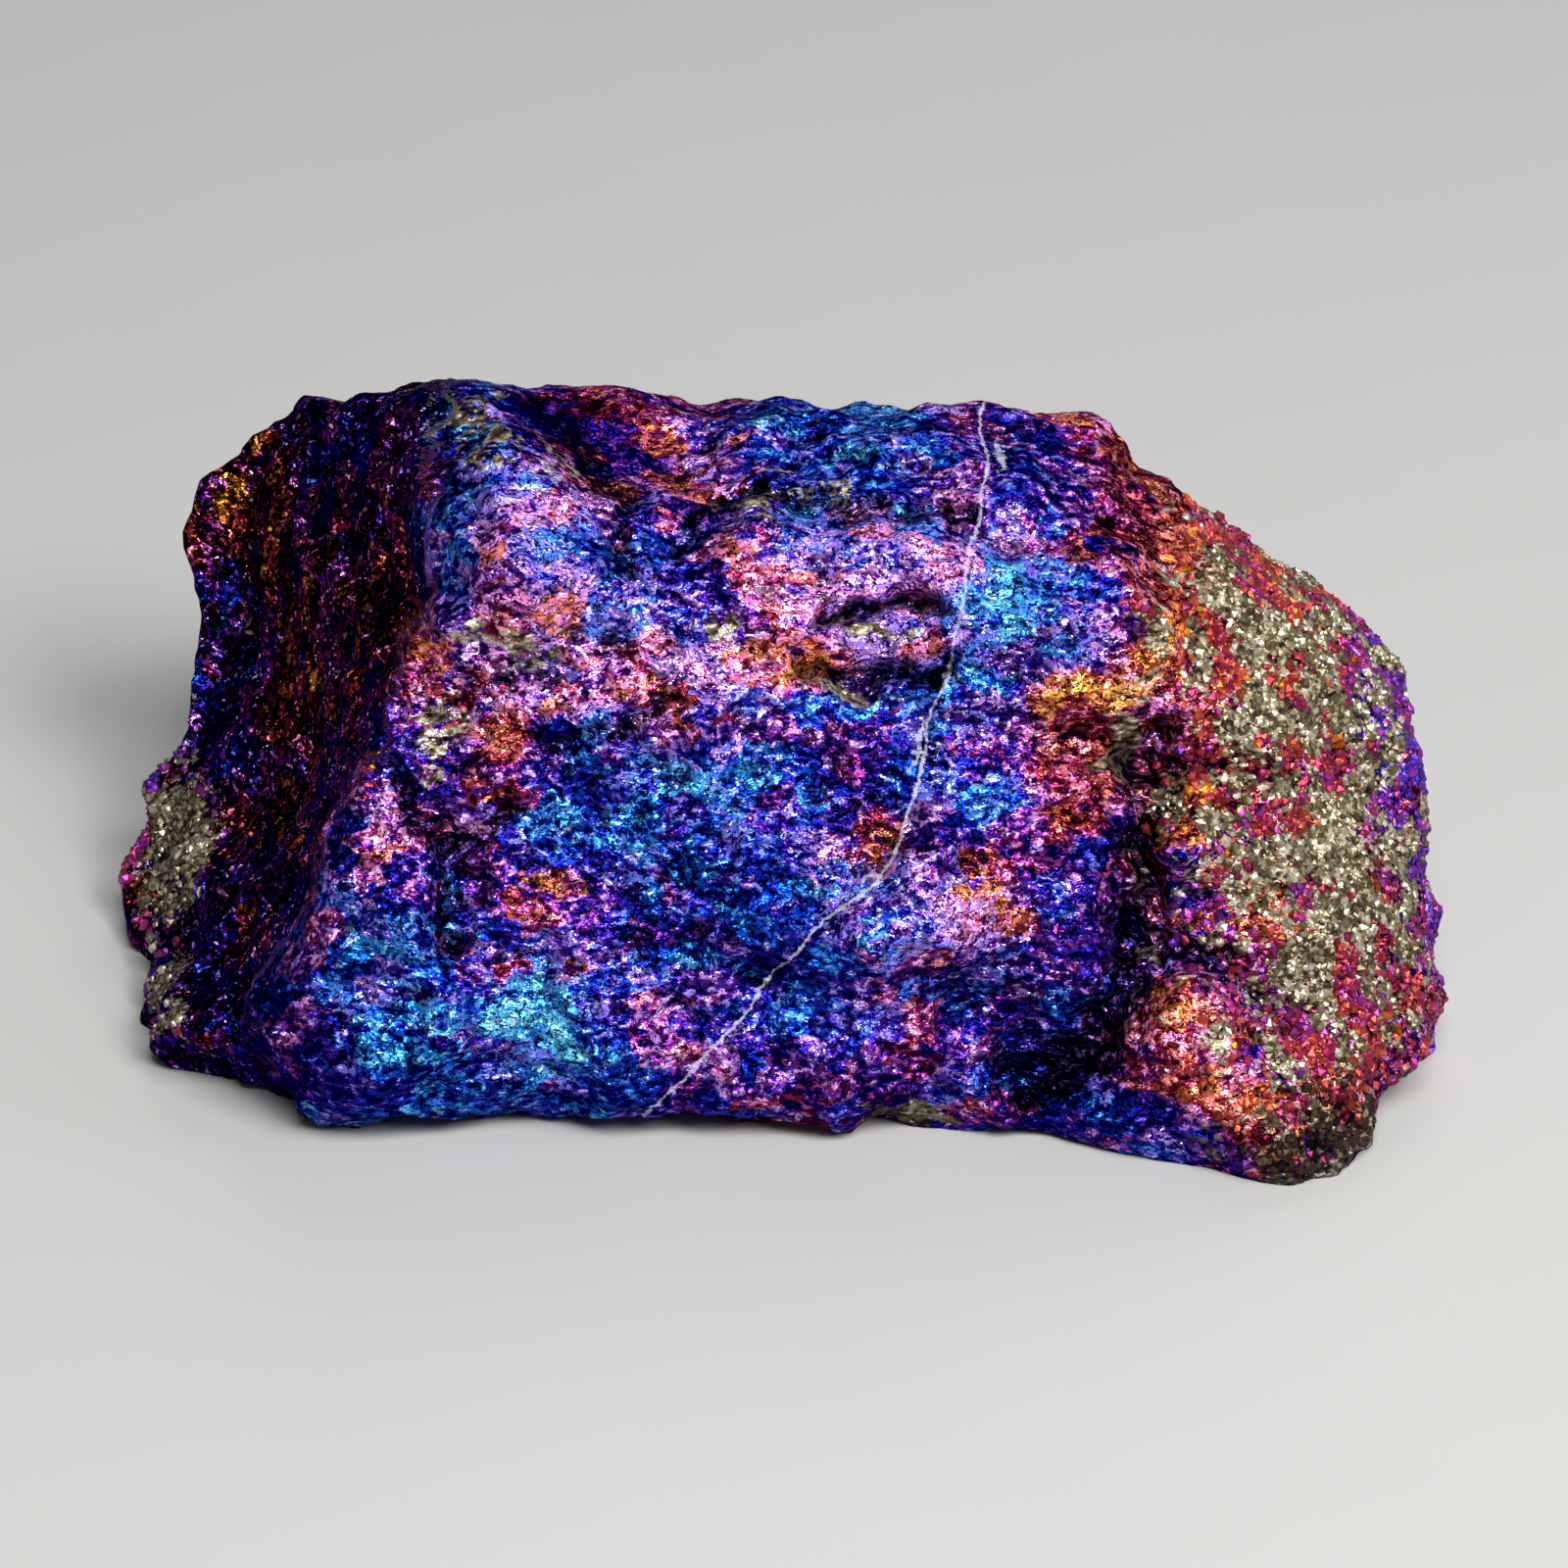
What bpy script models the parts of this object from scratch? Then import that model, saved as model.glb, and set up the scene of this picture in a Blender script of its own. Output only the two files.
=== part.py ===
"""Peacock ore hand specimen: one broken lump of tarnished bornite with brassy chalcopyrite.

The form is set out in the frame of its broad front face, which leans back from upright:
across the face, up the face, and out from it. A sphere is drawn out to the outline and
to the depth of the front and back, lumped, cleft and roughened. It lies on a level underside.
"""

import math

import bmesh
import bpy
import numpy as np

MM = 0.001

# Driving dimensions
HALF_ACROSS = 37.5 * MM
HALF_UP = 23.0 * MM
FACE_LEAN = math.radians(30)
CENTRE_HEIGHT = 13.2 * MM
MIDDLE_ACROSS = -0.6 * MM
MIDDLE_AWAY = -1.1 * MM
FRONT_BOXINESS = 5.0
BACK_BOXINESS = 4.0
EDGE_BLEND = 0.9 * MM
OUTLINE_BLEND = math.radians(1.2)
LEAST_RISE = 1.0 * MM

# Corners of the outline seen square on to the broad face, anticlockwise: across, up (mm)
OUTLINE = [
    (38.0, -11.2), (37.5, -7.0), (36.5, -2.8), (35.9, 4.5), (35.1, 7.3), (30.6, 11.2), (27.1, 14.1),
    (22.1, 17.9), (18.8, 21.0), (15.5, 21.8), (3.4, 22.0), (-5.6, 22.3), (-13.8, 23.0), (-18.5, 23.5),
    (-21.3, 23.0), (-26.0, 22.5), (-27.9, 23.1), (-29.4, 22.5), (-32.8, 19.1), (-34.3, 17.8), (-34.6, 16.0),
    (-35.3, 14.8), (-34.8, 13.0), (-35.1, 5.8), (-36.0, 2.3), (-37.6, 0.2), (-38.8, -4.0), (-38.6, -7.6),
    (-37.5, -12.8), (-37.7, -14.4), (-36.9, -15.9), (-34.0, -16.5), (-29.8, -17.5), (-28.1, -19.4),
    (-26.2, -20.1), (-17.8, -19.2), (-5.5, -18.9), (3.3, -20.1), (5.2, -19.5), (10.3, -19.6), (16.2, -20.3),
    (24.8, -23.4), (30.6, -24.4), (32.9, -22.6), (34.3, -18.0), (37.1, -15.9),
]

# How far out the outline's edge lies, by its direction from the centre: degrees, mm
EDGE_OUT = [(0, -3.0), (30, -4.0), (60, -3.0), (90, -2.0), (118, -4.0), (150, -12.0), (180, -13.0),
            (197, -9.0), (204, -4.0), (215, 0.0), (250, 2.0), (300, 3.0), (330, -1.0)]

# Planes that bound the front: a point (across, up, out) in mm, then the slopes across and up
FRONT_PLANES = {
    "broad face": (0.0, 0.0, 13.6, -0.02, 0.03),
    "brassy right face": (22.0, 0.0, 13.2, -0.42, -0.24),
    "upper right bevel": (18.0, 14.0, 12.4, -0.60, -0.53),
    "top bevel": (0.0, 14.5, 12.2, -0.02, -0.75),
}

# The ridge where the broad face meets the dark left face, bottom to top: up, across (mm)
RIDGE = [(-24.0, -29.5), (-18.5, -28.4), (-14.5, -29.6), (-11.0, -28.9), (-6.7, -26.4), (0.0, -23.4),
         (6.7, -20.6), (11.2, -19.3), (16.8, -19.2), (23.0, -18.2)]
RIDGE_OUT = 13.6 * MM
LEFT_FALL = 1.95

# Planes that bound the back, in the same way as the front
BACK_PLANES = {
    "back face": (0.0, 0.0, -23.0, 0.06, 0.80),
    "back left face": (-18.0, 0.0, -23.5, -0.50, 0.55),
    "back right face": (14.0, 0.0, -21.0, 0.75, 0.62),
    "top back face": (0.0, 12.0, -13.5, -0.08, 0.35),
}

# Broad waves of the back: length and height (mm)
BACK_WAVES = (19.0, 3.4)
BACK_SEED = 29

# Swells (+) and hollows (-) of the front: across, up, half length, half width (mm), turn (degrees)
# and height (mm)
SWELLS = {
    "shoulder": (-14.4, 15.0, 8.0, 4.6, 122.0, 3.2),
    "recess beside the shoulder": (-6.4, 18.2, 4.2, 2.6, -20.0, -2.8),
    "recess at the top corner": (-12.5, 21.0, 2.6, 1.4, -5.0, -1.2),
    "upper ledge": (3.0, 14.6, 7.6, 2.6, -2.0, 1.3),
    "blue dome": (15.6, 8.6, 5.6, 4.6, 0.0, 1.5),
    "middle swell": (-4.0, 6.0, 7.0, 5.0, 20.0, 0.9),
    "hollow over the gold rim": (17.0, 2.4, 4.6, 1.6, -6.0, -1.5),
    "lower swell": (7.2, -6.6, 5.4, 5.0, 0.0, 1.3),
    "lower hollow": (12.0, -13.0, 4.4, 2.4, -28.0, -2.1),
    "blue foot": (-22.0, -10.5, 7.0, 5.0, 60.0, 1.1),
    "bright blue swell": (-12.6, -13.2, 5.0, 3.0, -25.0, 1.0),
    "hollow left of the bright swell": (-17.6, -7.6, 3.2, 2.2, 75.0, -1.0),
    "orange lump": (22.6, -14.4, 5.2, 3.6, -40.0, 2.3),
    "gold lump": (21.9, -2.0, 3.6, 2.6, -10.0, 1.5),
    "grainy swell": (27.0, 3.0, 5.0, 4.0, 60.0, 1.0),
    "right foot": (30.4, -19.0, 6.8, 4.6, 20.0, 3.6),
    "hollow of the left face": (-28.8, -4.0, 8.0, 3.4, 76.0, -2.4),
    "brassy knob": (-35.8, -4.6, 5.2, 2.2, 84.0, 2.6),
    "left foot": (-35.2, -13.8, 3.2, 2.6, 0.0, 4.6),
}

# Clefts: depth and half width (mm), then the points they pass through (across, up in mm)
CLEFTS = {
    "behind the shoulder": (1.6, 1.1, [(-14.5, 21.6), (-11.6, 19.0), (-9.0, 15.6), (-8.8, 11.6)]),
    "upper crack": (1.6, 0.9, [(-6.0, 13.8), (-3.4, 15.8), (2.0, 15.9), (10.2, 15.0)]),
    "middle crack": (1.6, 0.8, [(2.8, 9.0), (5.4, 9.7), (8.6, 9.9)]),
    "lower crack": (1.5, 0.8, [(0.8, 6.3), (4.6, 6.0), (8.8, 6.3)]),
    "valley": (2.5, 1.7, [(20.6, 3.2), (20.2, -3.5), (19.6, -9.5), (17.4, -14.6), (14.4, -17.4)]),
    "left notch": (1.1, 0.9, [(-21.4, 0.2), (-18.7, -3.8), (-16.0, -1.6)]),
    "crack under the notch": (0.9, 0.8, [(-18.7, -3.8), (-19.0, -9.4)]),
    "slanting crack": (0.7, 0.8, [(-14.0, 1.6), (-9.4, 3.1), (-5.0, 5.4)]),
    "right crack": (0.9, 0.8, [(20.6, 1.0), (24.8, 1.6), (28.6, 0.4)]),
    "crack above the orange lump": (0.9, 0.8, [(19.2, -9.0), (23.4, -9.4), (27.0, -12.0)]),
}

# Roughness of the broken rock: length and height (mm) of each octave
ROUGHNESS = [(12.0, 0.70), (5.4, 0.44), (2.7, 0.22)]
ROUGHNESS_SEED = 11

# Chips: size (mm) and steepness of each set of shallow bowls
CHIPS = [(6.6, 0.30), (3.0, 0.26)]
CHIP_TILT = 1.1
CHIP_SEED = 47

# Fibres of the left face, which run beside the ridge: length, spacing and height (mm)
FIBRES = (11.0, 2.3, 0.50)
FIBRE_SEED = 83
FIBRE_LEAN = math.radians(72)

# How far the relief's middle lies below the smooth form
RELIEF_SINK = 0.40 * MM

# Round the outline bumps are worn down to this height, and how softly
WORN_HEIGHT = 0.34 * MM
WORN_BLEND = 0.20 * MM

# Corners this near the resting surface after thinning lie on it
LEVEL_WITHIN = 0.02 * MM

SPHERE_SUBDIVISIONS = 7
SPHERE_FACES = 20 * 4 ** (SPHERE_SUBDIVISIONS - 1)
FACETS = 9300


def outline_radius(angle):
    """Distance from the centre to the outline in each direction, with its corners slightly blended."""
    corners = np.array(OUTLINE) * MM
    order = np.argsort(np.arctan2(corners[:, 1], corners[:, 0]))
    corners = corners[order]
    corner_angles = np.arctan2(corners[:, 1], corners[:, 0])

    def sharp(direction):
        direction = (direction + math.pi) % (2 * math.pi) - math.pi
        last = np.searchsorted(corner_angles, direction) % len(corners)
        start, end = corners[last - 1], corners[last]
        along = end - start
        across = start[:, 0] * along[:, 1] - start[:, 1] * along[:, 0]
        return across / (np.cos(direction) * along[:, 1] - np.sin(direction) * along[:, 0])

    return sum(sharp(angle + turn * OUTLINE_BLEND) for turn in (-1, 0, 1)) / 3


def edge_out(angle):
    """How far out the outline lies in each direction from the centre."""
    degrees, out = np.array(EDGE_OUT).T
    return np.interp(np.degrees(angle) % 360, degrees, out * MM, period=360)


def plane_heights(planes, across, up):
    """How far out each of the planes lies at each place."""
    return [
        out * MM + slope_across * (across - at_across * MM) + slope_up * (up - at_up * MM)
        for at_across, at_up, out, slope_across, slope_up in planes.values()
    ]


def past_ridge(across, up):
    """How far to the left of the ridge each place lies, less than nothing on the broad face."""
    ridge_up, ridge_across = np.array(RIDGE).T * MM
    return np.interp(up, ridge_up, ridge_across) - across


def lowest(heights):
    """The lowest of the heights at each place, with the edges between them slightly rounded."""
    return -EDGE_BLEND * np.log(sum(np.exp(-height / EDGE_BLEND) for height in heights))


def smooth_front(across, up):
    """How far out the front lies, with its planes, swells and clefts."""
    left_face = RIDGE_OUT - LEFT_FALL * past_ridge(across, up)
    planes = plane_heights(FRONT_PLANES, across, up)
    return lowest([*planes, left_face]) + swells(across, up) + clefts(across, up)


def smooth_back(across, up):
    """How far out the back lies: the highest of its planes, in broad waves."""
    length, height = np.array(BACK_WAVES) * MM
    places = np.stack([across, up, np.zeros_like(up)], -1) / length
    waves = height * rough_noise(places, BACK_SEED)
    return waves - lowest([-plane for plane in plane_heights(BACK_PLANES, across, up)])


def swells(across, up):
    """Height of the rounded swells and hollows at each place of the front."""
    height = 0
    for at_across, at_up, half_length, half_width, turn, rise in SWELLS.values():
        turned = math.radians(turn)
        right, above = across - at_across * MM, up - at_up * MM
        along = (right * math.cos(turned) + above * math.sin(turned)) / (half_length * MM)
        beside = (above * math.cos(turned) - right * math.sin(turned)) / (half_width * MM)
        height = height + rise * MM * np.exp(-((along**2 + beside**2) ** 1.4))
    return height


def distance_to_path(across, up, path):
    """Distance from each place to a line through the points of the path."""
    nearest = np.inf
    for start, end in zip(np.array(path[:-1]) * MM, np.array(path[1:]) * MM):
        along = end - start
        share = ((across - start[0]) * along[0] + (up - start[1]) * along[1]) / (along @ along)
        share = np.clip(share, 0, 1)
        nearest = np.minimum(
            nearest, np.hypot(across - start[0] - share * along[0], up - start[1] - share * along[1])
        )
    return nearest


def clefts(across, up):
    """Depth of the clefts at each place of the front, as a negative height."""
    return sum(
        -depth * MM * np.exp(-((distance_to_path(across, up, path) / (half_width * MM)) ** 2))
        for depth, half_width, path in CLEFTS.values()
    )


def scatter(cells, seed):
    """Three numbers from 0 to 1 for each lattice cell, the same every time."""
    cells = cells.astype(np.int64)
    mixed = cells[..., 0] * 73856093 ^ cells[..., 1] * 19349663 ^ cells[..., 2] * 83492791 ^ seed * 2654435
    numbers = []
    for step in (1, 2, 3):
        mixed = (mixed ^ (mixed >> 13)) * 1274126177 & 0x7FFFFFFF
        mixed = (mixed ^ (mixed >> 16)) * (668265263 + step) & 0x7FFFFFFF
        numbers.append(mixed / 0x7FFFFFFF)
    return np.stack(numbers, -1)


def rough_noise(points, seed):
    """Smooth gradient noise, about -0.5 to 0.5, on a lattice of unit spacing."""
    cell = np.floor(points)
    inside = points - cell
    fade = inside**3 * (inside * (inside * 6 - 15) + 10)
    total = 0
    for corner in np.ndindex(2, 2, 2):
        gradient = scatter(cell + corner, seed) * 2 - 1
        weight = np.prod(np.where(np.array(corner) == 1, fade, 1 - fade), axis=-1)
        total = total + weight * np.sum(gradient * (inside - corner), axis=-1)
    return total


def chip_noise(points, seed):
    """Chips of broken rock: the lowest of many shallow tilted bowls, one round each scattered centre."""
    cell = np.floor(points)
    height = np.full(len(points), np.inf)
    for step in np.ndindex(3, 3, 3):
        corner = cell + np.array(step) - 1
        away = points - corner - scatter(corner, seed)
        tilt = (scatter(corner, seed + 1) - 0.5) * CHIP_TILT
        height = np.minimum(height, np.sum(away**2 + tilt * away, axis=-1))
    return height


def reach_and_rise(directions):
    """Shares of the way to the outline and of the way to the front or back, on a rounded box."""
    ring, facing = np.hypot(directions[:, 0], directions[:, 1]), directions[:, 2]
    boxiness = np.where(facing > 0, FRONT_BOXINESS, BACK_BOXINESS)
    size = (ring**boxiness + np.abs(facing) ** boxiness) ** (1 / boxiness)
    return ring / size, facing / size


def drawn_form(directions):
    """Places of the unit sphere's points on the smooth lump, as across, up and out."""
    angle = np.arctan2(directions[:, 1] * HALF_UP, directions[:, 0] * HALF_ACROSS)
    reach, rise = reach_and_rise(directions)
    radius = outline_radius(angle)
    across, up = reach * radius * np.cos(angle), reach * radius * np.sin(angle)
    edge = edge_out(angle)
    front = np.maximum(smooth_front(across, up), edge + LEAST_RISE)
    back = np.minimum(smooth_back(across, up), edge - LEAST_RISE)
    out = edge + np.abs(rise) * (np.where(rise > 0, front, back) - edge)
    return np.stack([across, up, out], -1)


def outward(directions):
    """The way that relief moves each point: it turns slowly from out to sideways, so nothing folds."""
    angle = np.arctan2(directions[:, 1] * HALF_UP, directions[:, 0] * HALF_ACROSS)
    reach, rise = reach_and_rise(directions)
    ways = np.stack([reach**3 * np.cos(angle), reach**3 * np.sin(angle), rise**3], -1)
    return ways / np.linalg.norm(ways, axis=-1, keepdims=True)


def standing(face_points):
    """Face frame to the resting frame: x across, y away from the front, z up from the surface."""
    across, up, out = face_points.T
    away = up * math.sin(FACE_LEAN) - out * math.cos(FACE_LEAN)
    height = CENTRE_HEIGHT + up * math.cos(FACE_LEAN) + out * math.sin(FACE_LEAN)
    return np.stack([across - MIDDLE_ACROSS, away - MIDDLE_AWAY, height], -1)


def rested(points):
    """The points, with those below the resting surface drawn back towards the middle until they meet it."""
    middle = np.array([-MIDDLE_ACROSS, -MIDDLE_AWAY, CENTRE_HEIGHT])
    share = CENTRE_HEIGHT / np.maximum(CENTRE_HEIGHT - points[:, 2:], CENTRE_HEIGHT)
    return middle + (points - middle) * share


def fibre_relief(face_points):
    """Height of the fibres: noise drawn out along the ridge, on the left face only."""
    across, up, out = face_points.T
    along = up * math.sin(FIBRE_LEAN) + across * math.cos(FIBRE_LEAN)
    beside = across * math.sin(FIBRE_LEAN) - up * math.cos(FIBRE_LEAN)
    length, spacing, height = np.array(FIBRES) * MM
    stretched = np.stack([along / length, beside / spacing, out / spacing], -1)
    share = np.clip(past_ridge(across, up) / spacing, 0, 1)
    return share * height * 2 * rough_noise(stretched, FIBRE_SEED)


def broken_relief(face_points):
    """Height of the broken rock's roughness, chips and fibres over the smooth form."""
    relief = fibre_relief(face_points) - RELIEF_SINK
    for number, (length, height) in enumerate(ROUGHNESS):
        relief += height * MM * 2 * rough_noise(face_points / (length * MM), ROUGHNESS_SEED + number)
    for number, (size, steepness) in enumerate(CHIPS):
        bowls = chip_noise(face_points / (size * MM), CHIP_SEED + 2 * number)
        relief += steepness * size * MM * (bowls - bowls.mean())
    return relief


def worn_relief(directions, face_points):
    """The broken relief, with its bumps worn down on the sides, where they would stand out of the outline."""
    relief = broken_relief(face_points)
    reach, rise = reach_and_rise(directions)
    side_share = reach**6 / (reach**6 + rise**6)
    worn = -WORN_BLEND * np.log(np.exp(-relief / WORN_BLEND) + math.exp(-WORN_HEIGHT / WORN_BLEND))
    return relief + side_share * (worn - relief)


def ore_material():
    """Tarnished bornite: violet blue metal, fairly rough."""
    material = bpy.data.materials.new("tarnished_ore")
    material.use_nodes = True
    shader = material.node_tree.nodes["Principled BSDF"]
    shader.inputs["Base Color"].default_value = (0.16, 0.12, 0.42, 1)
    shader.inputs["Metallic"].default_value = 0.85
    shader.inputs["Roughness"].default_value = 0.38
    return material


def vertex_places(mesh):
    places = np.empty(len(mesh.vertices) * 3)
    mesh.vertices.foreach_get("co", places)
    return places.reshape(-1, 3)


def move_vertices(mesh, points):
    mesh.vertices.foreach_set("co", points.ravel())
    mesh.update()


def make_lump(collection):
    """The specimen: a fine sphere shaped in code, then thinned to facets."""
    mesh = bpy.data.meshes.new("ore_lump")
    bm = bmesh.new()
    bmesh.ops.create_icosphere(bm, subdivisions=SPHERE_SUBDIVISIONS, radius=1)
    bm.to_mesh(mesh)
    bm.free()
    directions = vertex_places(mesh)
    face_points = drawn_form(directions)
    rough_points = face_points + outward(directions) * worn_relief(directions, face_points)[:, None]
    move_vertices(mesh, rested(standing(rough_points)))
    lump = bpy.data.objects.new("ore_lump", mesh)
    collection.objects.link(lump)
    facets = lump.modifiers.new("facets", "DECIMATE")
    facets.ratio = FACETS / SPHERE_FACES
    evaluated = lump.evaluated_get(bpy.context.evaluated_depsgraph_get())
    lump.data = bpy.data.meshes.new_from_object(evaluated)
    lump.modifiers.clear()
    corners = vertex_places(lump.data)
    corners[:, 2] = np.where(corners[:, 2] < LEVEL_WITHIN, 0, corners[:, 2])
    move_vertices(lump.data, corners)
    lump.data.materials.append(ore_material())
    return lump


def new_collection(name):
    collection = bpy.data.collections.new(name)
    bpy.context.scene.collection.children.link(collection)
    return collection


def main():
    for obj in list(bpy.data.objects):
        bpy.data.objects.remove(obj)
    specimen = new_collection("peacock_ore_specimen")
    make_lump(specimen)


main()
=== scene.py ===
"""Looks of the peacock ore specimen: tarnished bornite with brassy grains on a pale studio floor.

The surface is worked out again from the same planes, swells, clefts and chips as the solid,
on a finer grid and with finer breaks. Places on the broad front face are given as across, up
and out from it, in millimetres, as seen square on; the face leans back from upright.
"""

from __future__ import annotations

import logging
import math
from dataclasses import dataclass, field
from enum import Enum
from typing import Any

import bpy
import numpy as np
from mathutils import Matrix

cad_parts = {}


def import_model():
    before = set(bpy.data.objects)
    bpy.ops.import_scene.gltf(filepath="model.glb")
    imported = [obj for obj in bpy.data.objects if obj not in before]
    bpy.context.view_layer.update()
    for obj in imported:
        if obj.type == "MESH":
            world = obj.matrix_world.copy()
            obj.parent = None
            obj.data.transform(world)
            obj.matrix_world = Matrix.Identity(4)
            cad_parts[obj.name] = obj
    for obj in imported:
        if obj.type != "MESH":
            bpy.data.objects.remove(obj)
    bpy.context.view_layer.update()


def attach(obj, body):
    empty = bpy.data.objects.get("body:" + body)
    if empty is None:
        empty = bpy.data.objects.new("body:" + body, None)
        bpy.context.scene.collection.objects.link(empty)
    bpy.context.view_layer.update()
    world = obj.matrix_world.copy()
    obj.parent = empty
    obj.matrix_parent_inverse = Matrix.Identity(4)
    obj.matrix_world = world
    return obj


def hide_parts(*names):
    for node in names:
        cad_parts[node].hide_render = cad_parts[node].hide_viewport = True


Array = np.ndarray
Piece = bpy.types.Object
Socket = bpy.types.NodeSocket
Pair = tuple[float, float]
Line = tuple[Pair, ...]
Rows = tuple[tuple[float, ...], ...]
Octaves = tuple[tuple[float, float, int], ...]
Colour = tuple[float, float, float]
Stops = list[tuple[float, Colour]]
MM = 0.001
# Large odd numbers that mix lattice cells into numbers by chance, and the largest result
CELL_MIXERS = (73856093, 19349663, 83492791)
SEED_MIXER = 2654435
STEP_MIXERS = (1274126177, 668265263)
LARGEST = 0x7FFFFFFF
LOG = logging.getLogger("peacock_ore")


class Film(Enum):
    """Thickness of the tarnish film by the colour that it shows, from 0 to 1."""

    BRONZE = 0.0
    GOLD = 0.09
    ORANGE = 0.17
    CORAL = 0.26
    ROSE = 0.34
    PINK = 0.43
    ORCHID = 0.52
    VIOLET = 0.60
    INDIGO = 0.68
    BLUE = 0.77
    AZURE = 0.88
    CYAN = 1.0


@dataclass(frozen=True)
class Patch:
    """A rounded patch of the front: its middle, half sizes (mm), turn (degrees) and what it carries."""

    across: float
    up: float
    half_length: float
    half_width: float
    turn: float = 0.0
    film: Film = Film.BLUE
    share: float = 1.0
    grains: float = 0.0

    def weight(self, across: Array, up: Array) -> Array:
        """How strongly the patch holds at each place: e to the minus (squared distance) to the 1.4.

        Args:
            across: places across the face, in metres.
            up: places up the face, in metres.

        Returns:
            Weights from 0 to 1.
        """
        turned = math.radians(self.turn)
        right, above = across / MM - self.across, up / MM - self.up
        along = (right * math.cos(turned) + above * math.sin(turned)) / self.half_length
        beside = (above * math.cos(turned) - right * math.sin(turned)) / self.half_width
        return np.exp(-((along**2 + beside**2) ** 1.4))


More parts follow.
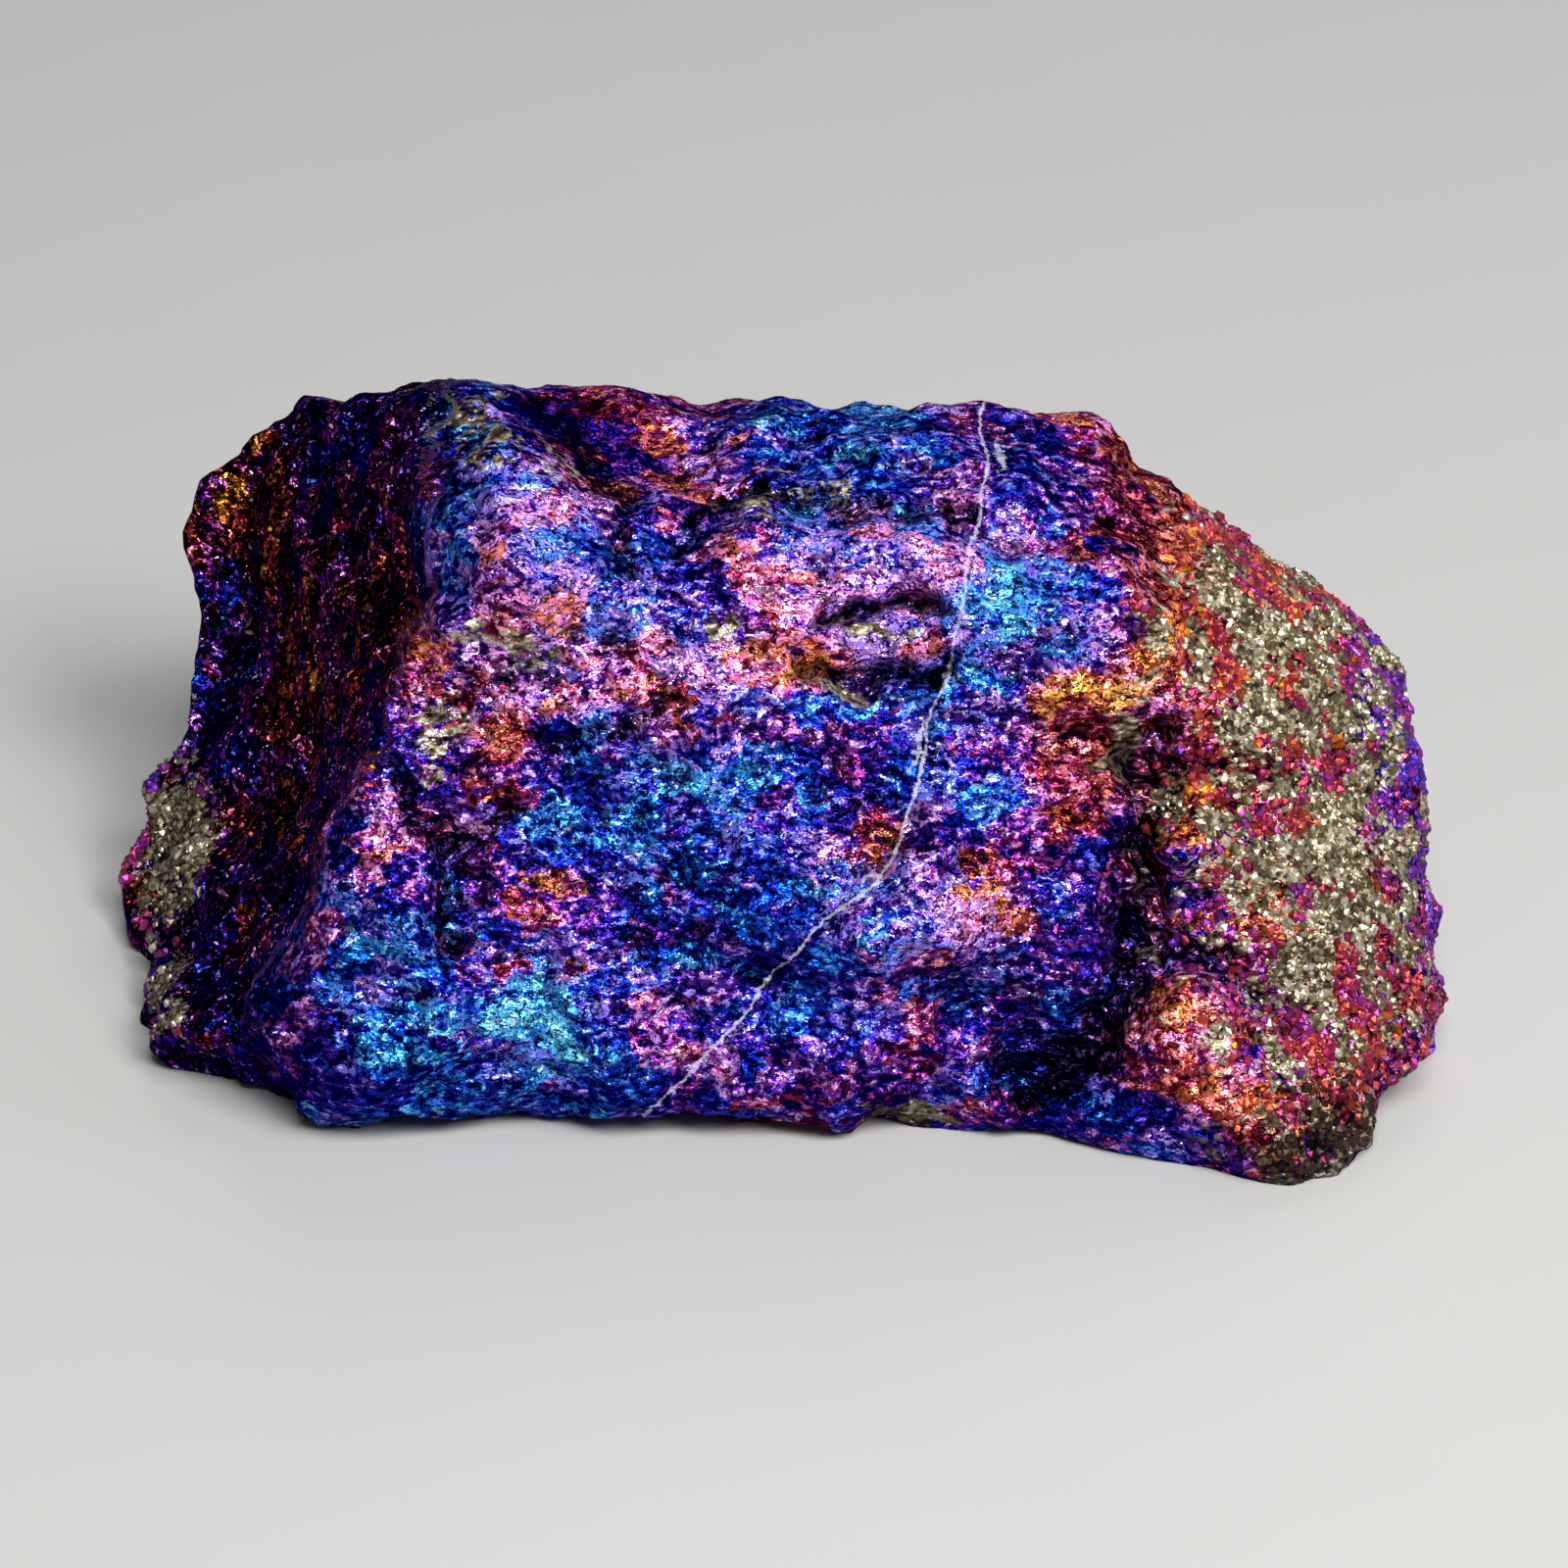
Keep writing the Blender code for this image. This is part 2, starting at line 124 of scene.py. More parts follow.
# Where the film differs from its surroundings on the front
FILM_PATCHES: dict[str, Patch] = {
    "maroon left face": Patch(-28.0, 5.0, 16.0, 7.0, 76, Film.ROSE, 1.8),
    "rust left face": Patch(-26.0, 6.6, 8.6, 3.2, 68, Film.CORAL, 2.4),
    "lower left corner": Patch(-29.6, -15.6, 3.4, 5.0, 0, Film.INDIGO, 1.8),
    "blue top of the left face": Patch(-24.5, 17.5, 4.0, 3.0, 60, Film.BLUE, 1.6),
    "red edge of the left face": Patch(-32.6, 15.5, 3.6, 3.0, 60, Film.CORAL, 6.0),
    "violet foot of the left face": Patch(-28.5, -8.0, 3.2, 7.0, -10, Film.VIOLET, 0.7),
    "left foot": Patch(-35.4, -14.6, 2.6, 2.0, 0, Film.ROSE, 1.6),
    "azure shoulder": Patch(-17.2, 18.0, 4.0, 2.0, 110, Film.AZURE, 1.2),
    "lilac shoulder": Patch(-13.0, 13.4, 5.0, 4.0, 0, Film.VIOLET, 1.2),
    "coral streak of the shoulder": Patch(-15.8, 14.4, 1.2, 3.0, 20, Film.CORAL, 2.2),
    "blue beside the ridge": Patch(-18.9, 14.0, 4.6, 1.5, 90, Film.BLUE, 5.0),
    "top rose": Patch(-7.0, 18.0, 5.0, 3.0, 0, Film.ROSE, 1.6),
    "azure top": Patch(2.4, 19.4, 5.0, 2.4, 0, Film.AZURE, 1.6),
    "pink middle": Patch(-9.5, 6.6, 9.0, 4.4, -10, Film.PINK, 1.5),
    "coral middle": Patch(-5.4, 5.0, 3.4, 2.2, -30, Film.CORAL, 1.0),
    "orange spot": Patch(-15.4, 2.8, 1.7, 1.3, 60, Film.ORANGE, 3.0),
    "red left edge": Patch(-18.2, 5.4, 3.4, 2.2, 60, Film.ROSE, 1.6),
    "pink right of the middle": Patch(4.0, 9.6, 6.0, 3.4, 0, Film.PINK, 1.5),
    "periwinkle": Patch(7.0, 13.6, 4.6, 2.6, 10, Film.VIOLET, 2.4),
    "dark rose notch": Patch(-18.0, -2.2, 3.4, 2.2, 30, Film.ROSE, 3.4),
    "blue belt": Patch(-9.0, -2.0, 9.0, 2.8, -4, Film.BLUE, 1.4),
    "azure belt": Patch(-2.0, -2.8, 5.0, 3.0, 0, Film.INDIGO, 1.4),
    "blue middle right": Patch(8.6, 3.6, 4.0, 3.6, 60, Film.BLUE, 3.2),
    "blue lower left": Patch(-22.5, -9.4, 8.0, 5.6, 40, Film.BLUE, 1.3),
    "cyan swell": Patch(-13.8, -13.2, 2.4, 1.7, -35, Film.CYAN, 7.0),
    "blue bottom": Patch(-14.0, -17.0, 12.0, 2.4, 0, Film.INDIGO, 1.6),
    "blue lower middle": Patch(-2.6, -9.8, 7.0, 5.0, 30, Film.BLUE, 4.4),
    "pink round the bright swell": Patch(-9.0, -11.2, 3.4, 2.2, -30, Film.PINK, 2.6),
    "pink over the bright swell": Patch(-16.6, -10.4, 2.4, 1.6, 40, Film.ORCHID, 2.2),
    "pink at the vein's foot": Patch(-5.0, -15.4, 3.0, 2.6, 20, Film.PINK, 1.8),
    "pink lower swell": Patch(7.6, -6.6, 5.0, 3.8, -20, Film.PINK, 2.0),
    "blue right of the vein": Patch(12.2, 1.4, 4.0, 3.0, 50, Film.BLUE, 1.3),
    "blue dome": Patch(14.4, 8.6, 4.4, 3.8, 0, Film.BLUE, 1.8),
    "azure over the dome": Patch(13.6, 16.8, 3.8, 3.0, 0, Film.BLUE, 3.0),
    "orchid round the dome": Patch(18.4, 10.6, 2.2, 5.0, 0, Film.ORCHID, 1.7),
    "gold rim": Patch(16.8, 5.2, 2.4, 0.72, -2, Film.GOLD, 14.0),
    "gold beside the rim": Patch(20.8, 7.4, 1.7, 0.4, 74, Film.GOLD, 12.0),
    "red under the rim": Patch(17.0, 1.2, 3.6, 2.8, -10, Film.CORAL, 9.0),
    "coral upper right": Patch(20.4, 16.2, 5.0, 3.4, -40, Film.CORAL, 6.0),
    "orange upper right": Patch(22.0, 12.2, 3.6, 2.8, -50, Film.ORANGE, 2.0),
    "indigo valley": Patch(18.6, -6.6, 8.0, 3.0, 84, Film.VIOLET, 1.9),
    "gold lump": Patch(21.8, -1.2, 1.8, 1.4, 0, Film.GOLD, 5.0),
    "violet streak": Patch(22.4, -7.0, 3.4, 2.2, -30, Film.ORCHID, 1.6),
    "orange lump": Patch(22.0, -14.8, 4.4, 3.2, -40, Film.ORANGE, 2.4),
    "pink beside the orange lump": Patch(25.6, -12.6, 2.6, 3.0, -30, Film.PINK, 2.6),
    "blue edge of the left face": Patch(-33.4, 6.4, 2.4, 5.6, 0, Film.BLUE, 7.0),
    "coral between the cracks": Patch(7.7, 8.0, 1.3, 0.8, 0, Film.CORAL, 6.0),
    "gold beside the lower crack": Patch(0.4, 6.2, 0.8, 0.6, 0, Film.GOLD, 10.0),
    "red right face": Patch(29.5, 0.0, 8.0, 16.0, 0, Film.CORAL, 3.4),
    "rose right face": Patch(30.0, -11.0, 6.0, 5.0, 0, Film.ROSE, 3.0),
    "violet rim": Patch(35.0, 2.0, 2.2, 7.5, 8, Film.VIOLET, 7.0),
    "dark lower hollow": Patch(11.4, -13.6, 5.4, 2.6, -20, Film.INDIGO, 1.8),
    "violet lower edge": Patch(18.0, -19.4, 8.0, 2.0, -14, Film.VIOLET, 1.6),
}

# Where bare brassy grains show on the front, and how much of the place they take
BRASS_PATCHES: dict[str, Patch] = {
    "right face": Patch(30.0, 0.0, 8.4, 20.0, 0, share=0.57, grains=1.0),
    "upper right face": Patch(25.4, 8.0, 4.6, 5.0, 30, share=0.66, grains=1.0),
    "right foot": Patch(30.4, -20.4, 6.6, 2.6, 12, share=0.70, grains=1.0),
    "left knob": Patch(-35.9, -4.0, 5.4, 2.4, 84, share=0.90, grains=0.8),
    "left foot": Patch(-35.4, -11.4, 3.2, 1.4, 84, share=0.60, grains=0.5),
    "top of the ridge": Patch(-18.0, 20.4, 2.0, 2.6, 0, share=0.68),
    "beside the shoulder top": Patch(-14.6, 18.2, 3.4, 1.3, -36, share=0.62),
    "upper ledge": Patch(-0.4, 16.4, 3.6, 1.1, -3, share=0.74),
    "left middle": Patch(-16.0, 8.4, 3.4, 1.5, -8, share=0.66),
    "left edge": Patch(-19.3, 3.6, 2.8, 1.4, 80, share=0.70),
    "middle crack": Patch(4.6, 8.5, 2.6, 0.6, 10, share=0.95, grains=0.3),
    "lower crack": Patch(3.4, 5.2, 2.8, 0.6, -4, share=0.95, grains=0.3),
    "middle": Patch(-3.2, 9.2, 1.6, 0.8, -10, share=0.70),
    "bottom edge": Patch(7.4, -18.6, 3.2, 0.9, 0, share=0.70),
    "beside the gold rim": Patch(18.9, 1.8, 1.8, 1.4, 60, share=0.70),
}

# Where hollows of the front stay light, as they do in the photo
# There the painted shade of the hollows is weakened
LIGHT_HOLLOWS: dict[str, Patch] = {
    "head of the valley": Patch(20.6, 2.4, 3.4, 3.0),
    "upper ledge": Patch(-0.6, 16.4, 4.0, 1.2, share=0.6),
    "middle crack's lower lip": Patch(4.8, 8.7, 3.0, 0.6, 8),
    "lower crack's lower lip": Patch(3.6, 5.2, 3.6, 0.6, -2),
}

# Painted light and shade on the front: where the foil-like film is painted paler and brighter (share above
# 0), or darker (below 0)
PAINTED_LIGHT_PATCHES: dict[str, Patch] = {
    "shoulder": Patch(-14.9, 13.2, 6.4, 5.0, -40, share=2.0),
    "left middle": Patch(-14.0, 6.8, 5.0, 3.6, 0, share=1.7),
    "middle": Patch(-6.0, 6.4, 6.4, 4.6, -20, share=2.0),
    "right of the middle": Patch(5.0, 12.0, 7.4, 4.0, 0, share=3.2),
    "round the cracks": Patch(4.0, 7.4, 5.0, 2.4, 0, share=2.4),
    "lower swell": Patch(7.6, -6.6, 5.0, 4.0, -20, share=2.2),
    "dome": Patch(14.4, 9.4, 4.4, 4.0, 0, share=1.5),
    "azure top": Patch(2.4, 19.2, 5.0, 2.0, 0, share=0.4),
    "lower left": Patch(-23.0, -8.0, 5.0, 7.0, -20, share=0.4),
    "lower left edge": Patch(-18.0, -18.0, 10.0, 1.8, -2, share=-1.6),
    "belt": Patch(-7.0, -2.6, 8.0, 2.6, -4, share=0.6),
    "bright swell": Patch(-13.4, -12.6, 3.8, 2.8, -30, share=3.2),
    "gold rim": Patch(16.6, 5.4, 3.8, 1.3, 4, share=2.2),
    "gold beside the rim": Patch(20.6, 7.4, 2.6, 0.8, 70, share=1.6),
    "gold lump": Patch(21.8, -1.2, 2.2, 1.6, 0, share=1.0),
    "orange lump": Patch(22.4, -13.6, 4.4, 3.6, -40, share=1.3),
    "top hollow": Patch(-12.0, 20.4, 4.6, 2.0, -20, share=-3.2),
    "ridge foot": Patch(-18.0, -2.6, 3.4, 2.2, 40, share=0.3),
    "valley": Patch(18.6, -6.6, 8.6, 2.8, 84, share=-0.6),
    "lower hollow": Patch(11.4, -13.8, 5.8, 2.6, -20, share=-1.0),
    "bottom edge": Patch(4.0, -18.4, 22.0, 1.7, -4, share=-1.5),
    "right foot": Patch(30.4, -20.4, 7.4, 3.4, 12, share=-1.8),
    "lower middle": Patch(-2.0, -11.0, 7.0, 4.0, 30, share=-0.4),
    "lower left corner": Patch(-29.6, -15.6, 3.4, 5.0, 0, share=-2.0),
    "over the dome": Patch(16.0, 17.0, 6.0, 3.0, -20, share=-1.0),
}


def scatter(cells: Array, seed: int) -> Array:
    """Three numbers from 0 to 1 for each lattice cell, the same every time.

    Args:
        cells: whole numbers of the cells, three in the last axis.
        seed: another seed gives other numbers.

    Returns:
        The numbers, three in the last axis.
    """
    by_axis = cells.astype(np.int64) * CELL_MIXERS
    mixed = by_axis[..., 0] ^ by_axis[..., 1] ^ by_axis[..., 2] ^ seed * SEED_MIXER
    numbers = []
    for step in (1, 2, 3):
        mixed = (mixed ^ (mixed >> 13)) * STEP_MIXERS[0] & LARGEST
        mixed = (mixed ^ (mixed >> 16)) * (STEP_MIXERS[1] + step) & LARGEST
        numbers.append(mixed / LARGEST)
    return np.stack(numbers, -1)


def rough_noise(points: Array, seed: int) -> Array:
    """Smooth gradient noise: slopes at the eight corners of each lattice cell, faded into each other.

    Args:
        points: places in units of the lattice spacing.
        seed: another seed gives other noise.

    Returns:
        One number for each point, about -0.5 to 0.5.
    """
    cell = np.floor(points)
    inside = points - cell
    fade = inside**3 * (inside * (inside * 6 - 15) + 10)
    total = np.zeros(len(points))
    for corner in np.ndindex(2, 2, 2):
        gradient = scatter(cell + corner, seed) * 2 - 1
        weight = np.prod(np.where(np.array(corner) == 1, fade, 1 - fade), axis=-1)
        total += weight * np.sum(gradient * (inside - corner), axis=-1)
    return total


def chip_noise(points: Array, seed: int, tilt_range: float) -> Array:
    """Chips of broken rock: the lowest of many shallow tilted bowls, one round each scattered centre.

    Args:
        points: places in units of the chips' size.
        seed: another seed gives other chips.
        tilt_range: how far the bowls tilt.

    Returns:
        One height for each point.
    """
    cell = np.floor(points)
    height = np.full(len(points), np.inf)
    for step in np.ndindex(3, 3, 3):
        corner = cell + np.array(step) - 1
        away = points - corner - scatter(corner, seed)
        tilt = (scatter(corner, seed + 1) - 0.5) * tilt_range
        height = np.minimum(height, np.sum(away**2 + tilt * away, axis=-1))
    return height


def wave(points: Array, length: float, seed: int) -> Array:
    """Smooth noise at places in metres, with features of a length in millimetres."""
    return rough_noise(points / (length * MM), seed)


def smooth_step(value: Array, start: float, end: float) -> Array:
    """0 before start, 1 after end, and three squares less two cubes between them."""
    share = np.clip((value - start) / (end - start), 0, 1)
    return share * share * (3 - 2 * share)


@dataclass
class LumpForm:
    """The lump's form, with the same values as the solid, and the finer breaks that only the looks have."""

    half_across: float = 37.5 * MM
    half_up: float = 23.0 * MM
    face_lean: float = math.radians(30)
    centre_height: float = 13.2 * MM
    middle_across: float = -0.6 * MM
    middle_away: float = -1.1 * MM
    front_boxiness: float = 5.0
    back_boxiness: float = 4.0
    edge_blend: float = 0.9 * MM
    outline_blend: float = math.radians(1.2)
    least_rise: float = 1.0 * MM
    relief_sink: float = 0.40 * MM
    worn_height: float = 0.34 * MM
    worn_blend: float = 0.20 * MM
    ridge_out: float = 13.6 * MM
    left_fall: float = 1.95
    chip_tilt: float = 1.1
    fibre_lean: float = math.radians(72)
    # Corners of the outline seen square on: across, up
    outline: Line = (
        (38.0, -11.2), (37.5, -7.0), (36.5, -2.8), (35.9, 4.5), (35.1, 7.3), (30.6, 11.2), (27.1, 14.1),
        (22.1, 17.9), (18.8, 21.0), (15.5, 21.8), (3.4, 22.0), (-5.6, 22.3), (-13.8, 23.0), (-18.5, 23.5),
        (-21.3, 23.0), (-26.0, 22.5), (-27.9, 23.1), (-29.4, 22.5), (-32.8, 19.1), (-34.3, 17.8),
        (-34.6, 16.0), (-35.3, 14.8), (-34.8, 13.0), (-35.1, 5.8), (-36.0, 2.3), (-37.6, 0.2),
        (-38.8, -4.0), (-38.6, -7.6), (-37.5, -12.8), (-37.7, -14.4), (-36.9, -15.9), (-34.0, -16.5),
        (-29.8, -17.5), (-28.1, -19.4), (-26.2, -20.1), (-17.8, -19.2), (-5.5, -18.9), (3.3, -20.1),
        (5.2, -19.5), (10.3, -19.6), (16.2, -20.3), (24.8, -23.4), (30.6, -24.4), (32.9, -22.6),
        (34.3, -18.0), (37.1, -15.9),
    )
    # How far out the outline's edge lies, by its direction from the centre
    edge: Line = (
        (0, -3.0), (30, -4.0), (60, -3.0), (90, -2.0), (118, -4.0), (150, -12.0), (180, -13.0),
        (197, -9.0), (204, -4.0), (215, 0.0), (250, 2.0), (300, 3.0), (330, -1.0),
    )
    # Planes of the front and the back: across, up, out, slope across, slope up
    front_planes: Rows = (
        (0.0, 0.0, 13.6, -0.02, 0.03), (22.0, 0.0, 13.2, -0.42, -0.24),
        (18.0, 14.0, 12.4, -0.60, -0.53), (0.0, 14.5, 12.2, -0.02, -0.75),
    )
    back_planes: Rows = (
        (0.0, 0.0, -23.0, 0.06, 0.80), (-18.0, 0.0, -23.5, -0.50, 0.55),
        (14.0, 0.0, -21.0, 0.75, 0.62), (0.0, 12.0, -13.5, -0.08, 0.35),
    )
    # The ridge between the broad face and the dark left face, bottom to top: up, across
    ridge: Line = (
        (-24.0, -29.5), (-18.5, -28.4), (-14.5, -29.6), (-11.0, -28.9), (-6.7, -26.4), (0.0, -23.4),
        (6.7, -20.6), (11.2, -19.3), (16.8, -19.2), (23.0, -18.2),
    )
    # Broad waves of the back: length, height and seed
    back_waves: tuple[float, float, int] = (19.0, 3.4, 29)
    # Swells and hollows of the front: across, up, half length, half width, turn, height
    swell_values: Rows = (
        (-14.4, 15.0, 8.0, 4.6, 122.0, 3.2), (-6.4, 18.2, 4.2, 2.6, -20.0, -2.8),
        (-12.5, 21.0, 2.6, 1.4, -5.0, -1.2), (3.0, 14.6, 7.6, 2.6, -2.0, 1.3),
        (15.6, 8.6, 5.6, 4.6, 0.0, 1.5), (-4.0, 6.0, 7.0, 5.0, 20.0, 0.9),
        (17.0, 2.4, 4.6, 1.6, -6.0, -1.5), (7.2, -6.6, 5.4, 5.0, 0.0, 1.3),
        (12.0, -13.0, 4.4, 2.4, -28.0, -2.1), (-22.0, -10.5, 7.0, 5.0, 60.0, 1.1),
        (-12.6, -13.2, 5.0, 3.0, -25.0, 1.0), (-17.6, -7.6, 3.2, 2.2, 75.0, -1.0),
        (22.6, -14.4, 5.2, 3.6, -40.0, 2.3), (21.9, -2.0, 3.6, 2.6, -10.0, 1.5),
        (27.0, 3.0, 5.0, 4.0, 60.0, 1.0), (30.4, -19.0, 6.8, 4.6, 20.0, 3.6),
        (-28.8, -4.0, 8.0, 3.4, 76.0, -2.4), (-35.8, -4.6, 5.2, 2.2, 84.0, 2.6),
        (-35.2, -13.8, 3.2, 2.6, 0.0, 4.6),
    )
    # Clefts: depth, half width, then the points that they pass through
    cleft_paths: tuple[tuple[float, float, Line], ...] = (
        (1.6, 1.1, ((-14.5, 21.6), (-11.6, 19.0), (-9.0, 15.6), (-8.8, 11.6))),
        (1.6, 0.9, ((-6.0, 13.8), (-3.4, 15.8), (2.0, 15.9), (10.2, 15.0))),
        (1.6, 0.8, ((2.8, 9.0), (5.4, 9.7), (8.6, 9.9))),
        (1.5, 0.8, ((0.8, 6.3), (4.6, 6.0), (8.8, 6.3))),
        (2.5, 1.7, ((20.6, 3.2), (20.2, -3.5), (19.6, -9.5), (17.4, -14.6), (14.4, -17.4))),
        (1.1, 0.9, ((-21.4, 0.2), (-18.7, -3.8), (-16.0, -1.6))),
        (0.9, 0.8, ((-18.7, -3.8), (-19.0, -9.4))),
        (0.7, 0.8, ((-14.0, 1.6), (-9.4, 3.1), (-5.0, 5.4))),
        (0.9, 0.8, ((20.6, 1.0), (24.8, 1.6), (28.6, 0.4))),
        (0.9, 0.8, ((19.2, -9.0), (23.4, -9.4), (27.0, -12.0))),
    )
    # Octaves of roughness: length, height and seed; chips: size, steepness and seed
    roughness: Octaves = ((12.0, 0.70, 11), (5.4, 0.44, 12), (2.7, 0.22, 13))
    chips: Octaves = ((6.6, 0.30, 47), (3.0, 0.26, 49))
    fibres: tuple[float, float, float, int] = (11.0, 2.3, 0.50, 83)
    # Only in the looks
    fine_roughness: Octaves = ((1.3, 0.10, 14), (0.8, 0.05, 15))
    fine_chips: Octaves = ((1.7, 0.20, 51), (0.9, 0.14, 53))
    fine_fibres: tuple[float, float, float, int] = (3.6, 0.9, 0.12, 84)
    cleft_fray: Octaves = ((2.6, 1.6, 31), (0.9, 0.8, 33))

    def outline_radius(self, angle: Array) -> Array:
        """Distance from the centre to the outline in each direction, with its corners slightly blended.

        Args:
            angle: directions on the face, in radians.

        Returns:
            Distances in metres.
        """
        corners = np.array(self.outline) * MM
        corners = corners[np.argsort(np.arctan2(corners[:, 1], corners[:, 0]))]
        corner_angles = np.arctan2(corners[:, 1], corners[:, 0])
        total = np.zeros(len(angle))
        for turn in (-1, 0, 1):
            direction = (angle + turn * self.outline_blend + math.pi) % (2 * math.pi) - math.pi
            last = np.searchsorted(corner_angles, direction) % len(corners)
            start, end = corners[last - 1], corners[last]
            along = end - start
            across = start[:, 0] * along[:, 1] - start[:, 1] * along[:, 0]
            total += across / (np.cos(direction) * along[:, 1] - np.sin(direction) * along[:, 0]) / 3
        return total

    def edge_out(self, angle: Array) -> Array:
        """How far out the outline lies in each direction, by straight steps between the given values."""
        degrees, out = np.array(self.edge).T
        return np.interp(np.degrees(angle) % 360, degrees, out * MM, period=360)

    def plane_heights(self, planes: Rows, across: Array, up: Array) -> list[Array]:
        """How far out each plane lies: its own height plus slope times distance, across and up.

        Args:
            planes: the planes' values, as in front_planes.
            across: places across the face.
            up: places up the face.

        Returns:
            One array of heights for each plane.
        """
        return [
            out * MM + slope_across * (across - at_across * MM) + slope_up * (up - at_up * MM)
            for at_across, at_up, out, slope_across, slope_up in planes
        ]

    def past_ridge(self, across: Array, up: Array) -> Array:
        """How far to the left of the ridge each place lies, less than nothing on the broad face."""
        ridge_up, ridge_across = np.array(self.ridge).T * MM
        return np.interp(up, ridge_up, ridge_across) - across

    def lowest(self, heights: list[Array]) -> Array:
        """The lowest of the heights, rounded: minus blend times log of the sum of e to minus height."""
        return -self.edge_blend * np.log(sum(np.exp(-height / self.edge_blend) for height in heights))

    def swells(self, across: Array, up: Array) -> Array:
        """Height of the swells and hollows: each one's rise times its patch's weight.

        Args:
            across: places across the face.
            up: places up the face.

        Returns:
            Heights in metres.
        """
        height = np.zeros_like(across)
        for at_across, at_up, half_length, half_width, turn, rise in self.swell_values:
            patch = Patch(at_across, at_up, half_length, half_width, turn)
            height += rise * MM * patch.weight(across, up)
        return height

    def distance_to_path(self, across: Array, up: Array, path: Line) -> Array:
        """Distance from each place to a line through the points of the path.

        Args:
            across: places across the face.
            up: places up the face.
            path: the points, in millimetres.

        Returns:
            Distances in metres.
        """
        nearest = np.full_like(across, np.inf)
        for start, end in zip(np.array(path[:-1]) * MM, np.array(path[1:]) * MM):
            along = end - start
            share = ((across - start[0]) * along[0] + (up - start[1]) * along[1]) / (along @ along)
            share = np.clip(share, 0, 1)
            reach = np.hypot(across - start[0] - share * along[0], up - start[1] - share * along[1])
            nearest = np.minimum(nearest, reach)
        return nearest

    def cleft_share(self, across: Array, up: Array, narrow: float = 1.0) -> Array:
        """How deep in a cleft each place lies: depth times e to minus (distance over half width) squared.

        The places are first moved about by noise, so that the clefts' edges are broken.

        Args:
            across: places across the face.
            up: places up the face.
            narrow: the clefts' widths are multiplied by this.

        Returns:
            Depths in metres.
        """
        depths = np.zeros_like(across)
        places = np.stack([across, up, np.zeros_like(up)], -1)
        for length, height, seed in self.cleft_fray:
            across = across + height * MM * wave(places, length, seed)
            up = up + height * MM * wave(places, length, seed + 1)
        for depth, half_width, path in self.cleft_paths:
            reach = self.distance_to_path(across, up, path) / (half_width * narrow * MM)
            depths += depth * MM * np.exp(-(reach**2))
        return depths

    def smooth_front(self, across: Array, up: Array) -> Array:
        """How far out the front lies: the lowest of its planes, plus swells, less clefts.

        Args:
            across: places across the face.
            up: places up the face.

        Returns:
            Heights in metres.
        """
        left_face = self.ridge_out - self.left_fall * self.past_ridge(across, up)
        planes = self.plane_heights(self.front_planes, across, up)
        return self.lowest([*planes, left_face]) + self.swells(across, up) - self.cleft_share(across, up)

    def smooth_back(self, across: Array, up: Array) -> Array:
        """How far out the back lies: the highest of its planes, in broad waves.

        Args:
            across: places across the face.
            up: places up the face.

        Returns:
            Heights in metres.
        """
        length, height, seed = self.back_waves
        places = np.stack([across, up, np.zeros_like(up)], -1)
        planes = self.plane_heights(self.back_planes, across, up)
        return height * MM * wave(places, length, seed) - self.lowest([-plane for plane in planes])

    def reach_and_rise(self, directions: Array) -> tuple[Array, Array]:
        """Shares of the way to the outline and to the front or back, on a rounded box.

        Args:
            directions: points of the unit sphere.

        Returns:
            The two shares, each divided by the power mean of both.
        """
        ring, facing = np.hypot(directions[:, 0], directions[:, 1]), directions[:, 2]
        boxiness = np.where(facing > 0, self.front_boxiness, self.back_boxiness)
        size = (ring**boxiness + np.abs(facing) ** boxiness) ** (1 / boxiness)
        return ring / size, facing / size

    def face_angle(self, directions: Array) -> Array:
        """Direction on the face of each point of the unit sphere, stretched to the lump's proportions."""
        return np.arctan2(directions[:, 1] * self.half_up, directions[:, 0] * self.half_across)

    def drawn_form(self, directions: Array) -> Array:
        """The smooth lump: reach times the outline's radius, and rise times the way to the front or back.

        Args:
            directions: points of the unit sphere.

        Returns:
            Places as across, up and out, in metres.
        """
        angle = self.face_angle(directions)
        reach, rise = self.reach_and_rise(directions)
        radius = self.outline_radius(angle)
        across, up = reach * radius * np.cos(angle), reach * radius * np.sin(angle)
        edge = self.edge_out(angle)
        front = np.maximum(self.smooth_front(across, up), edge + self.least_rise)
        back = np.minimum(self.smooth_back(across, up), edge - self.least_rise)
        return np.stack([across, up, edge + np.abs(rise) * (np.where(rise > 0, front, back) - edge)], -1)

    def outward(self, directions: Array) -> Array:
        """The way that relief moves each point: the cubes of reach and rise, brought to length one.

        Args:
            directions: points of the unit sphere.

        Returns:
            Unit vectors as across, up and out.
        """
        angle = self.face_angle(directions)
        reach, rise = self.reach_and_rise(directions)
        ways = np.stack([reach**3 * np.cos(angle), reach**3 * np.sin(angle), rise**3], -1)
        return ways / np.linalg.norm(ways, axis=-1, keepdims=True)

    def fibre_places(self, face_points: Array, length: float, spacing: float) -> Array:
        """Places along and beside the fibres, over their length and spacing, so that noise is drawn out.

        Args:
            face_points: places as across, up and out.
            length: the fibres' length in millimetres.
            spacing: their spacing in millimetres.

        Returns:
            Places without a unit.
        """
        across, up, out = face_points.T
        along = up * math.sin(self.fibre_lean) + across * math.cos(self.fibre_lean)
        beside = across * math.sin(self.fibre_lean) - up * math.cos(self.fibre_lean)
        return np.stack([along / (length * MM), beside / (spacing * MM), out / (spacing * MM)], -1)

